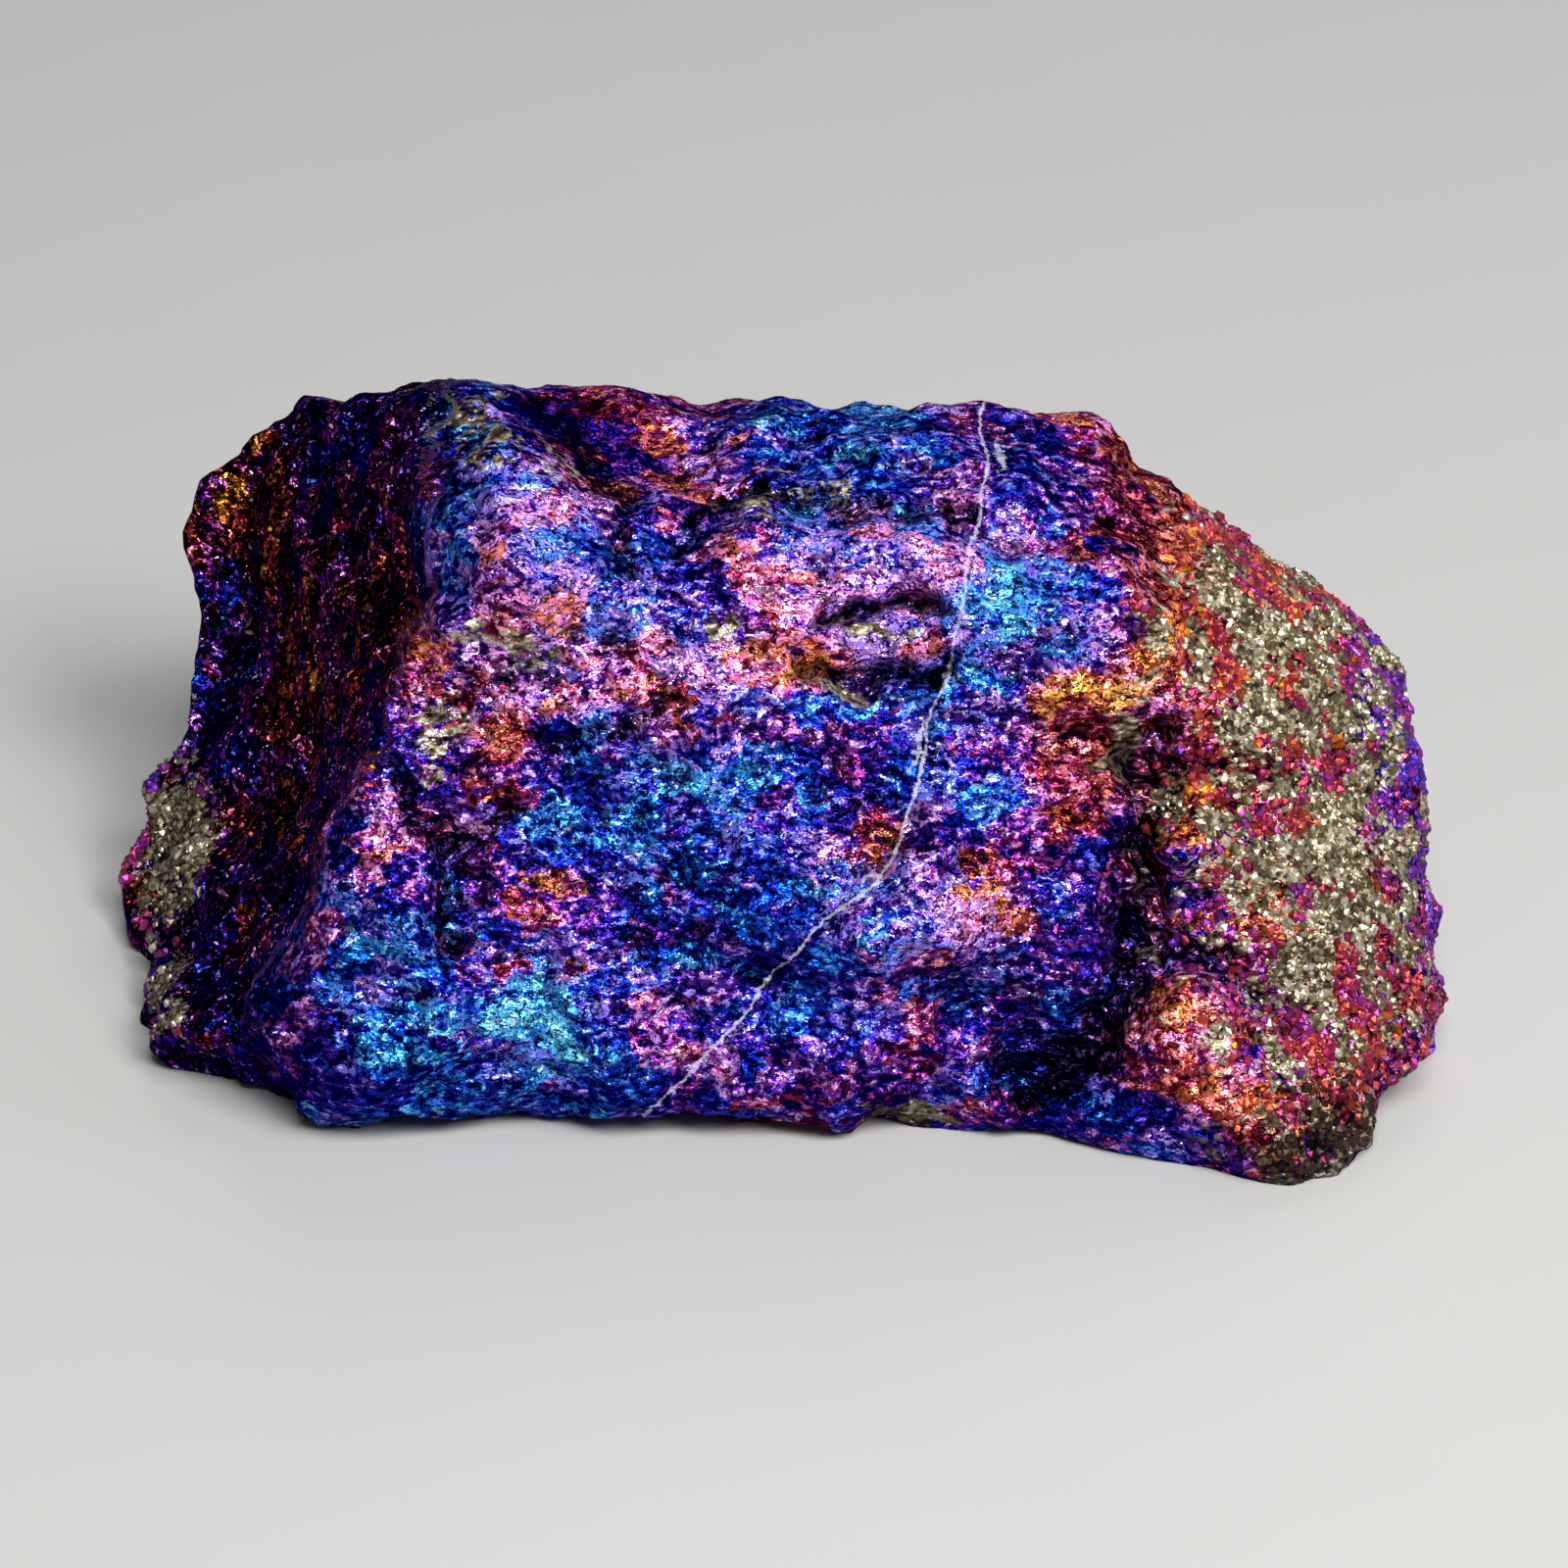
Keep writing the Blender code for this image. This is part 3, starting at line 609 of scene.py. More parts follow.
    def fibre_relief(self, face_points: Array, values: tuple[float, float, float, int]) -> Array:
        """Height of the fibres: noise drawn out along the ridge, on the left face only.

        Args:
            face_points: places as across, up and out.
            values: length, spacing and height in millimetres, and the seed.

        Returns:
            Heights in metres.
        """
        length, spacing, height, seed = values
        share = np.clip(self.past_ridge(face_points[:, 0], face_points[:, 1]) / (self.fibres[1] * MM), 0, 1)
        return share * height * MM * 2 * rough_noise(self.fibre_places(face_points, length, spacing), seed)

    def relief(self, face_points: Array) -> Array:
        """Height of the breaks over the smooth form: octaves of noise, chips and fibres added up.

        Args:
            face_points: places as across, up and out.

        Returns:
            Heights in metres.
        """
        height = self.fibre_relief(face_points, self.fibres) - self.relief_sink
        height += self.fibre_relief(face_points, self.fine_fibres)
        for length, rise, seed in (*self.roughness, *self.fine_roughness):
            height += rise * MM * 2 * wave(face_points, length, seed)
        for size, steepness, seed in (*self.chips, *self.fine_chips):
            bowls = chip_noise(face_points / (size * MM), seed, self.chip_tilt)
            height += steepness * size * MM * (bowls - bowls.mean())
        return height

    def worn_relief(self, directions: Array, face_points: Array) -> Array:
        """The relief, with its bumps worn down on the sides to a soft lowest of it and the worn height.

        That is minus blend times the log of two powers of e added up. The sides' share goes by the
        sixth powers of reach and rise.

        Args:
            directions: points of the unit sphere.
            face_points: the same points on the smooth lump, as across, up and out.

        Returns:
            Heights in metres.
        """
        relief = self.relief(face_points)
        reach, rise = self.reach_and_rise(directions)
        side_share = reach**6 / (reach**6 + rise**6)
        powers = np.exp(-relief / self.worn_blend) + math.exp(-self.worn_height / self.worn_blend)
        return relief + side_share * (-self.worn_blend * np.log(powers) - relief)

    def standing(self, face_points: Array) -> Array:
        """Face frame to the resting frame: a turn by the lean, then the shift to the box's middle.

        Args:
            face_points: places as across, up and out.

        Returns:
            Places in the resting frame, in metres.
        """
        across, up, out = face_points.T
        away = up * math.sin(self.face_lean) - out * math.cos(self.face_lean)
        height = self.centre_height + up * math.cos(self.face_lean) + out * math.sin(self.face_lean)
        return np.stack([across - self.middle_across, away - self.middle_away, height], -1)

    def middle(self) -> Array:
        """The middle of the form, in the resting frame."""
        return np.array([-self.middle_across, -self.middle_away, self.centre_height])

    def rested(self, points: Array) -> Array:
        """Points below the resting surface drawn back towards the middle until they meet it."""
        share = self.centre_height / np.maximum(self.centre_height - points[:, 2:], self.centre_height)
        return self.middle() + (points - self.middle()) * share


@dataclass
class BoxLattice:
    """Six grids on a box, welded along its edges: the parameters that a closed surface is worked out on."""

    across_quads: int = 208
    up_quads: int = 128
    out_quads: int = 64
    left_pull: float = 0.12
    jitter: float = 0.30
    seed: int = 5

    def corners_and_quads(self) -> tuple[Array, Array]:
        """Lattice corners on the box's surface and the quads between them, facing outwards.

        Returns:
            Whole-number corners, three each, and four corner numbers for each quad.
        """
        counts = np.array([self.across_quads, self.up_quads, self.out_quads])
        corners, quads, start = [], [], 0
        for axis in range(3):
            first, second = (axis + 1) % 3, (axis + 2) % 3
            steps_first, steps_second = np.meshgrid(
                np.arange(counts[first] + 1), np.arange(counts[second] + 1), indexing="ij"
            )
            numbers = np.arange(steps_first.size).reshape(steps_first.shape)
            ring = [numbers[:-1, :-1], numbers[1:, :-1], numbers[1:, 1:], numbers[:-1, 1:]]
            for side in (0, 1):
                grid = np.zeros((steps_first.size, 3), np.int64)
                grid[:, axis] = side * counts[axis]
                grid[:, first], grid[:, second] = steps_first.ravel(), steps_second.ravel()
                ordered = ring if side else ring[::-1]
                quads.append(np.stack([part.ravel() for part in ordered], -1) + start)
                corners.append(grid)
                start += len(grid)
        every = np.concatenate(corners)
        keys = every[:, 0] + (counts[0] + 1) * (every[:, 1] + (counts[1] + 1) * every[:, 2])
        _, kept, welded = np.unique(keys, return_index=True, return_inverse=True)
        return every[kept], welded.ravel()[np.concatenate(quads)]

    def directions(self, corners: Array) -> Array:
        """Points of the unit sphere: the box from -1 to 1, denser to the left, shaken a little, made round.

        Args:
            corners: the lattice corners.

        Returns:
            Unit vectors.
        """
        counts = np.array([self.across_quads, self.up_quads, self.out_quads])
        box = corners / counts * 2 - 1
        inner = (corners > 0) & (corners < counts)
        box += np.where(inner, (scatter(corners, self.seed) - 0.5) * 2 * self.jitter * 2 / counts, 0)
        box[:, 0] -= self.left_pull * (1 - box[:, 0] ** 2)
        return box / np.linalg.norm(box, axis=-1, keepdims=True)

    def triangles(self, corners: Array, quads: Array) -> Array:
        """Each quad cut along one of its diagonals, which one by chance.

        Args:
            corners: the lattice corners.
            quads: four corner numbers for each quad.

        Returns:
            Three corner numbers for each triangle.
        """
        first = scatter(corners[quads[:, 0]], self.seed + 1)[:, :1] > 0.5
        turned = np.where(first, quads, np.roll(quads, -1, axis=1))
        return np.concatenate([turned[:, [0, 1, 2]], turned[:, [0, 2, 3]]])


def mesh_object(name: str, points: Array, triangles: Array, smooth: bool) -> Piece:
    """A mesh object from arrays of points and triangles.

    Args:
        name: the piece's name.
        points: places in metres.
        triangles: three point numbers for each face, anticlockwise seen from outside.
        smooth: whether the faces are shaded smoothly.

    Returns:
        The object, linked to the scene.
    """
    mesh = bpy.data.meshes.new(name)
    mesh.vertices.add(len(points))
    mesh.vertices.foreach_set("co", points.ravel())
    mesh.loops.add(triangles.size)
    mesh.loops.foreach_set("vertex_index", triangles.ravel())
    mesh.polygons.add(len(triangles))
    mesh.polygons.foreach_set("loop_start", np.arange(len(triangles)) * 3)
    mesh.polygons.foreach_set("use_smooth", np.full(len(triangles), smooth))
    mesh.update(calc_edges=True)
    mesh.validate()
    piece = bpy.data.objects.new(name, mesh)
    bpy.context.scene.collection.objects.link(piece)
    return piece


def add_attributes(piece: Piece, attributes: dict[str, Array]) -> None:
    """Puts numbers or vectors on the piece's vertices, for its material to read.

    Args:
        piece: the mesh object.
        attributes: by name, one number or three for each vertex.
    """
    for name, values in attributes.items():
        kind, slot = ("FLOAT_VECTOR", "vector") if values.ndim == 2 else ("FLOAT", "value")
        attribute = piece.data.attributes.new(name, kind, "POINT")
        attribute.data.foreach_set(slot, values.astype(np.float32).ravel())


def vertex_normals(points: Array, triangles: Array) -> Array:
    """Normals of the vertices: the triangles' own normals, by area, added up and brought to length one.

    Args:
        points: the vertices.
        triangles: the faces between them.

    Returns:
        Unit vectors.
    """
    a, b, c = (points[triangles[:, corner]] for corner in range(3))
    faces = np.cross(b - a, c - a)
    total = np.zeros((len(points), 3))
    for corner, axis in np.ndindex(3, 3):
        total[:, axis] += np.bincount(triangles[:, corner], faces[:, axis], len(points))
    return total / np.maximum(np.linalg.norm(total, axis=-1, keepdims=True), 1e-12)


def sunken(points: Array, triangles: Array, rounds: int) -> Array:
    """How far each vertex lies below its smoothed surroundings, in metres.

    Args:
        points: the vertices.
        triangles: the faces between them.
        rounds: how many times each vertex is moved to the mean of its neighbours.

    Returns:
        Depths along the normal, less than nothing on crests.
    """
    starts = triangles.ravel()
    ends = np.roll(triangles, -1, axis=1).ravel()
    count = np.bincount(starts, minlength=len(points))[:, None]
    smoothed = points
    for _ in range(rounds):
        sums = np.stack([np.bincount(starts, smoothed[ends, axis], len(points)) for axis in range(3)], -1)
        smoothed = 0.5 * smoothed + 0.5 * sums / count
    return np.sum((smoothed - points) * vertex_normals(points, triangles), axis=-1)


@dataclass(frozen=True)
class PaleVein:
    """The thin pale vein: a sheet that cuts through the lump and shows as a line on its faces."""

    # Points on the front, top to bottom: up, across
    path: Line = (
        (24.0, 11.6), (20.2, 11.1), (15.7, 11.0), (11.2, 10.2), (6.2, 9.1), (3.4, 7.8), (0.6, 7.5),
        (-2.8, 6.6), (-5.6, 5.0), (-8.4, 1.7), (-12.4, -2.2), (-16.3, -5.5), (-18.2, -7.5), (-24.0, -13.0),
    )
    # Where it widens into pale chips
    chips: tuple[Patch, ...] = (
        Patch(12.2, 18.2, 1.5, 0.34, 96), Patch(7.4, 2.0, 1.9, 0.30, 74), Patch(4.9, -5.0, 1.0, 0.42, 50),
    )
    front: float = 13.0
    lean: float = -0.02
    wobble: tuple[float, float, int] = (3.4, 0.30, 61)

    def distance(self, face_points: Array) -> Array:
        """Signed distance from the sheet: how far right of the path, times the cosine of its slope.

        Args:
            face_points: places as across, up and out, in metres.

        Returns:
            Distances in millimetres, which run evenly through nothing.
        """
        across, up, out = (face_points / MM).T
        path_up, path_across = np.array(self.path)[::-1].T
        length, height, seed = self.wobble
        at = np.interp(up, path_up, path_across) + self.lean * (out - self.front)
        slope = (np.interp(up + 1, path_up, path_across) - np.interp(up - 1, path_up, path_across)) / 2
        wander = height * 2 * wave(face_points, length, seed)
        return (across - at) / np.hypot(1, slope) + wander

    def chip_share(self, face_points: Array) -> Array:
        """How strongly each place belongs to a pale chip, from 0 to 1."""
        return np.max([chip.weight(face_points[:, 0], face_points[:, 1]) for chip in self.chips], axis=0)


@dataclass
class OreSurface:
    """The visible surface of the lump, with what its finish reads on it.

    Noise is given as length, height and seed, and on the back as length, middle, spread and seed.
    """

    form: LumpForm = field(default_factory=LumpForm)
    lattice: BoxLattice = field(default_factory=BoxLattice)
    vein: PaleVein = field(default_factory=PaleVein)
    front_fade: float = 3.0 * MM
    back_film: tuple[float, float, float, int] = (13.0, 0.60, 0.95, 71)
    back_brass: tuple[float, float, float, int] = (11.0, 0.18, 1.30, 72)
    most_back_brass: float = 0.85
    own_film: float = 0.35
    least_film: float = 0.02
    # Bounds of the painted light and shade
    painted_light_range: Pair = (-3.5, 2.8)
    brass_patches: tuple[float, float, int] = (2.3, 1.00, 75)
    least_brass: float = 0.08
    patch_warp: Octaves = ((4.2, 2.0, 91), (1.3, 0.9, 94))
    ridge_fray: tuple[float, float, int] = (2.4, 2.6, 97)
    ridge_edge: Pair = (-0.4 * MM, 1.4 * MM)
    # Painted shade along the ridge: its half width and strength
    ridge_painted_shade: Pair = (0.9 * MM, 1.0)
    # Painted shade in clefts: the depth where it is full, the clefts' narrowing for it, and how much light
    # hollows lift it
    cleft_shade_depth: float = 0.95 * MM
    cleft_narrow: float = 0.42
    cleft_shade_lift: float = 0.8
    # Broad hollows, fine hollows and clefts: how much painted shade each gets
    hollow_weights: tuple[float, float, float] = (0.55, 0.35, 1.4)
    hollow_rounds: tuple[int, int] = (24, 3)
    hollow_range: Pair = (0.05 * MM, 0.34 * MM)
    fine_hollow_range: Pair = (0.01 * MM, 0.09 * MM)
    fibre_stretch: float = 0.6
    left_wrap: float = 10.0 * MM
    # Places as across, up and out; the same moved about; and the front's share of each
    places: Array = field(init=False)
    frayed: Array = field(init=False)
    front: Array = field(init=False)
    # What the grains read
    points: Array = field(init=False)
    triangles: Array = field(init=False)
    film: Array = field(init=False)
    brass: Array = field(init=False)
    bare_places: Array = field(init=False)
    grain_share: Array = field(init=False)
    painted_lighting: Array = field(init=False)

    def moved_about(self) -> Array:
        """The places moved by two sizes of noise, so that patches read there have broken outlines.

        Returns:
            Places as across, up and out.
        """
        moved = self.places.copy()
        for length, height, seed in self.patch_warp:
            for axis in (0, 1):
                moved[:, axis] += height * MM * wave(self.places, length, seed + axis)
        return moved

    def front_share(self, face_points: Array) -> Array:
        """1 on the front, 0 on the back, and a soft change round the outline's edge.

        Args:
            face_points: places as across, up and out.

        Returns:
            The front's shares.
        """
        angle = np.arctan2(face_points[:, 1], face_points[:, 0])
        above_edge = face_points[:, 2] - self.form.edge_out(angle)
        return smooth_step(above_edge, -self.front_fade, self.front_fade)

    def from_patches(self, on_front: Array, noise: Array) -> Array:
        """The patches' numbers on the front and slow noise on the back, by the front's share."""
        return self.front * on_front + (1 - self.front) * noise

    def film_thickness(self) -> Array:
        """Film of each place, 0 to 1: the mean of the patches' films and of slow noise, by weight.

        Returns:
            Thicknesses.
        """
        length, middle, spread, seed = self.back_film
        slow = middle + spread * wave(self.frayed, length, seed)
        total, weights = self.own_film * slow, np.full(len(slow), self.own_film)
        for patch in FILM_PATCHES.values():
            weight = self.front * patch.share * patch.weight(*self.frayed[:, :2].T)
            total, weights = total + weight * patch.film.value, weights + weight
        return np.clip(total / weights, self.least_film, 1)

    def brassy(self) -> Array:
        """Share of brass: the strongest patch's on the front, and slow noise elsewhere.

        Returns:
            Shares from 0 to 1.
        """
        length, middle, spread, seed = self.back_brass
        slow = np.clip(middle + spread * wave(self.frayed, length, seed), 0, self.most_back_brass)
        across, up = self.frayed[:, :2].T
        shares = [patch.share * patch.weight(across, up) for patch in BRASS_PATCHES.values()]
        return self.from_patches(np.max(shares, axis=0), slow)

    def grains_share(self) -> Array:
        """How many grains stand out: the strongest patch's on the front, as the brass elsewhere.

        Returns:
            Shares from 0 to 1.
        """
        across, up = self.frayed[:, :2].T
        shares = [patch.grains * patch.weight(across, up) for patch in BRASS_PATCHES.values()]
        return self.from_patches(np.max(shares, axis=0), self.brass)

    def sheen(self) -> Array:
        """Painted light and shade: the patches' shares added up, and nothing off the front.

        Returns:
            Shares, less than nothing where shade is painted.
        """
        across, up = self.frayed[:, :2].T
        total = sum(patch.share * patch.weight(across, up) for patch in PAINTED_LIGHT_PATCHES.values())
        return np.clip(self.front * total, *self.painted_light_range)

    def bare(self) -> Array:
        """Where the brass is bare, 0 to 1 with the change at a half: its share plus noise.

        Returns:
            Numbers for each place.
        """
        length, height, seed = self.brass_patches
        patches = height * wave(self.places, length, seed)
        return np.clip(self.brass + np.where(self.brass > self.least_brass, patches, 0), 0, 1)

    def past_frayed_ridge(self) -> Array:
        """How far past the ridge each place lies, with the ridge frayed by noise."""
        length, height, seed = self.ridge_fray
        return self.form.past_ridge(*self.places[:, :2].T) + height * MM * wave(self.places, length, seed)

    def hollows(self) -> Array:
        """Painted shade of each place by its depth, 0 to 1: in hollows and clefts, less where they stay
        light.

        Returns:
            Shares for each place.
        """
        broad_rounds, fine_rounds = self.hollow_rounds
        broad = smooth_step(sunken(self.points, self.triangles, broad_rounds), *self.hollow_range)
        fine = smooth_step(sunken(self.points, self.triangles, fine_rounds), *self.fine_hollow_range)
        across, up = self.places[:, :2].T
        cleft = self.front * self.form.cleft_share(across, up, narrow=self.cleft_narrow) / self.cleft_shade_depth
        for patch in LIGHT_HOLLOWS.values():
            lightness = patch.share * patch.weight(across, up)
            broad, cleft = broad * (1 - lightness), cleft * (1 - self.cleft_shade_lift * lightness)
        by_broad, by_fine, by_cleft = self.hollow_weights
        return np.clip(by_broad * broad + by_fine * fine + by_cleft * cleft, 0, 1)

    def build(self) -> Piece:
        """Works the surface out and dresses it with what its material reads.

        Returns:
            The piece.
        """
        corners, quads = self.lattice.corners_and_quads()
        directions = self.lattice.directions(corners)
        smooth_points = self.form.drawn_form(directions)
        relief = self.form.worn_relief(directions, smooth_points)
        self.places = smooth_points + self.form.outward(directions) * relief[:, None]
        self.points = self.form.rested(self.form.standing(self.places))
        self.triangles = self.lattice.triangles(corners, quads)

        self.front = self.front_share(self.places)
        self.frayed = self.moved_about()
        self.film = self.film_thickness()
        self.brass = self.brassy()
        self.bare_places = self.bare()
        self.grain_share = self.grains_share()
        past_ridge = self.past_frayed_ridge()
        # Painted shade along the ridge is taken off the painted light
        half_width, ridge_shade = self.ridge_painted_shade
        self.painted_lighting = self.sheen() - ridge_shade * np.exp(-((past_ridge / half_width) ** 2))
        wrapped = self.front_share(self.places + np.array([0.0, 0.0, self.left_wrap]))
        fibre = wrapped * smooth_step(past_ridge, *self.ridge_edge)
        stretched = self.form.fibre_places(self.places, self.fibre_stretch, 1.0)

        piece = mesh_object("ore_surface", self.points, self.triangles, smooth=False)
        attributes = {
            "film": self.film,
            "brass": self.bare_places,
            "sheen": self.painted_lighting,
            "chip": self.vein.chip_share(self.places),
            "fibre": fibre,
            # Painted shade of hollows and clefts
            "hollow": self.hollows(),
            "vein": self.vein.distance(self.places),
            "place": np.where(fibre[:, None] > 0.5, stretched, self.places / MM),
        }
        add_attributes(piece, attributes)
        return piece


@dataclass
class BrassyGrains:
    """Small broken crystals that stand out of the brassy places, each a distorted icosahedron."""

    surface: OreSurface
    count: int = 9200
    radius: Pair = (0.17 * MM, 0.40 * MM)
    sink: float = 0.35
    uneven: float = 0.22
    least_share: float = 0.16
    least_height: float = 1.2 * MM
    # From this on a grain is bare, give or take the spread
    bare_from: float = 0.45
    bare_spread: float = 0.08
    # The film's noise: length, height, and the spread from grain to grain
    film_noise: tuple[float, float, float] = (2.0, 0.22, 0.05)
    # How much the surface's painted shade darkens the grains
    painted_shade_share: float = 0.5
    seed: int = 97

    def icosahedron(self) -> tuple[Array, Array]:
        """Twelve corners, the turns of (0, 1, golden ratio), and the twenty triangles between them.

        Returns:
            Unit corners and triangles that face outwards.
        """
        golden = (1 + math.sqrt(5)) / 2
        pairs = [(0, a, b * golden) for a in (-1, 1) for b in (-1, 1)]
        corners = np.array([np.roll(pair, turn) for turn in range(3) for pair in pairs], float)
        near = np.isclose(np.linalg.norm(corners[:, None] - corners[None], axis=-1), 2)
        faces = [
            (a, b, c)
            for a in range(12)
            for b in range(a + 1, 12)
            for c in range(b + 1, 12)
            if near[a, b] and near[b, c] and near[a, c]
        ]
        triangles = np.array(faces)
        a, b, c = (corners[triangles[:, corner]] for corner in range(3))
        inwards = np.sum(np.cross(b - a, c - a) * a, axis=-1) < 0
        triangles[inwards] = triangles[inwards][:, ::-1]
        return corners / np.linalg.norm(corners[0]), triangles

    def build(self) -> Piece:
        """Sets the grains into the surface, more of them where the brass share is high.

        Returns:
            The piece.
        """
        chance = np.random.default_rng(self.seed)
        surface = self.surface
        normals = vertex_normals(surface.points, surface.triangles)
        above = surface.points[:, 2] > self.least_height
        share = np.clip(surface.grain_share - self.least_share, 0, None) * above
        chosen = chance.choice(len(share), self.count, replace=False, p=share / share.sum())
        radius = chance.uniform(*self.radius, self.count)
        centres = surface.points[chosen] - normals[chosen] * (radius * self.sink)[:, None]
        corners, triangles = self.icosahedron()
        size = len(corners)
        turns, _ = np.linalg.qr(chance.normal(size=(self.count, 3, 3)))
        turns *= np.sign(np.linalg.det(turns))[:, None, None]
        lengths = 1 + chance.uniform(-self.uneven, self.uneven, (self.count, size, 1))
        squash = 1 + chance.uniform(-self.uneven, self.uneven, (self.count, 1, 3))
        shapes = np.einsum("gij,gcj->gci", turns, corners[None] * lengths * squash)
        points = (centres[:, None] + shapes * radius[:, None, None]).reshape(-1, 3)
        faces = (triangles[None] + size * np.arange(self.count)[:, None, None]).reshape(-1, 3)
        piece = mesh_object("brassy_grains", points, faces, smooth=False)
        bare = surface.bare_places[chosen] + chance.normal(0, self.bare_spread, self.count) > self.bare_from
        length, height, spread = self.film_noise
        film = surface.film[chosen] + height * wave(centres, length, self.seed + 1)
        film = film + chance.normal(0, spread, self.count)
        # Paleness: a random tone, lowered where shade is painted on the surface
        pale = chance.random(self.count) ** 2 + self.painted_shade_share * np.minimum(surface.painted_lighting[chosen], 0)
        attributes = {"film": film, "brass": bare * 1.0, "pale": pale}
        add_attributes(piece, {name: np.repeat(values, size) for name, values in attributes.items()})
        return piece


class Value:
    """A number in a material: arithmetic on it adds Math nodes."""

    def __init__(self, tree: MaterialTree, socket: Socket) -> None:
        """Wraps an output socket.

        Args:
            tree: the material's tree, which new nodes go to.
            socket: the output that carries the number.
        """
        self.tree = tree
        self.socket = socket

    def maths(self, operation: str, *others: Value | float, clamp: bool = False) -> Value:
        """One Math node on this number and the others.

        Args:
            operation: the Math node's operation.
            others: the further operands.
            clamp: whether the result is kept from 0 to 1.

        Returns:
            The result.
        """
        return self.tree.maths(operation, self, *others, clamp=clamp)

    def __add__(self, other: Value | float) -> Value:
        """Sum."""
        return self.maths("ADD", other)

    __radd__ = __add__

    def __sub__(self, other: Value | float) -> Value:
        """Difference."""
        return self.maths("SUBTRACT", other)

    def __rsub__(self, other: float) -> Value:
        """Difference with a plain number first."""
        return self.tree.maths("SUBTRACT", other, self)

    def __mul__(self, other: Value | float) -> Value:
        """Product."""
        return self.maths("MULTIPLY", other)

    __rmul__ = __mul__

    def __abs__(self) -> Value:
        """Size without sign."""
        return self.maths("ABSOLUTE")

    def clamped(self) -> Value:
        """The number kept from 0 to 1."""
        return self.maths("ADD", 0.0, clamp=True)

    def levelled(self, level: float, gain: float) -> Value:
        """The level, plus the gain times the number."""
        return level + gain * self

    def varied(self, *chances: tuple[Value, float]) -> Value:
        """The number with chances added, each measured from a half.

        Args:
            chances: numbers from 0 to 1, each with its weight.

        Returns:
            The sum.
        """
        total = self
        for chance, weight in chances:
            total = total + (chance - 0.5) * weight
        return total

    def step(self, start: Value | float, end: Value | float) -> Value:
        """0 before start, 1 after end, with a smooth change between them.

        Args:
            start: where the change begins.
            end: where it ends.

        Returns:
            The share.
        """
        made = self.tree.node(
            "ShaderNodeMapRange",
            {"interpolation_type": "SMOOTHSTEP"},
            {"Value": self, "From Min": start, "From Max": end},
        )
        return Value(self.tree, made.outputs["Result"])


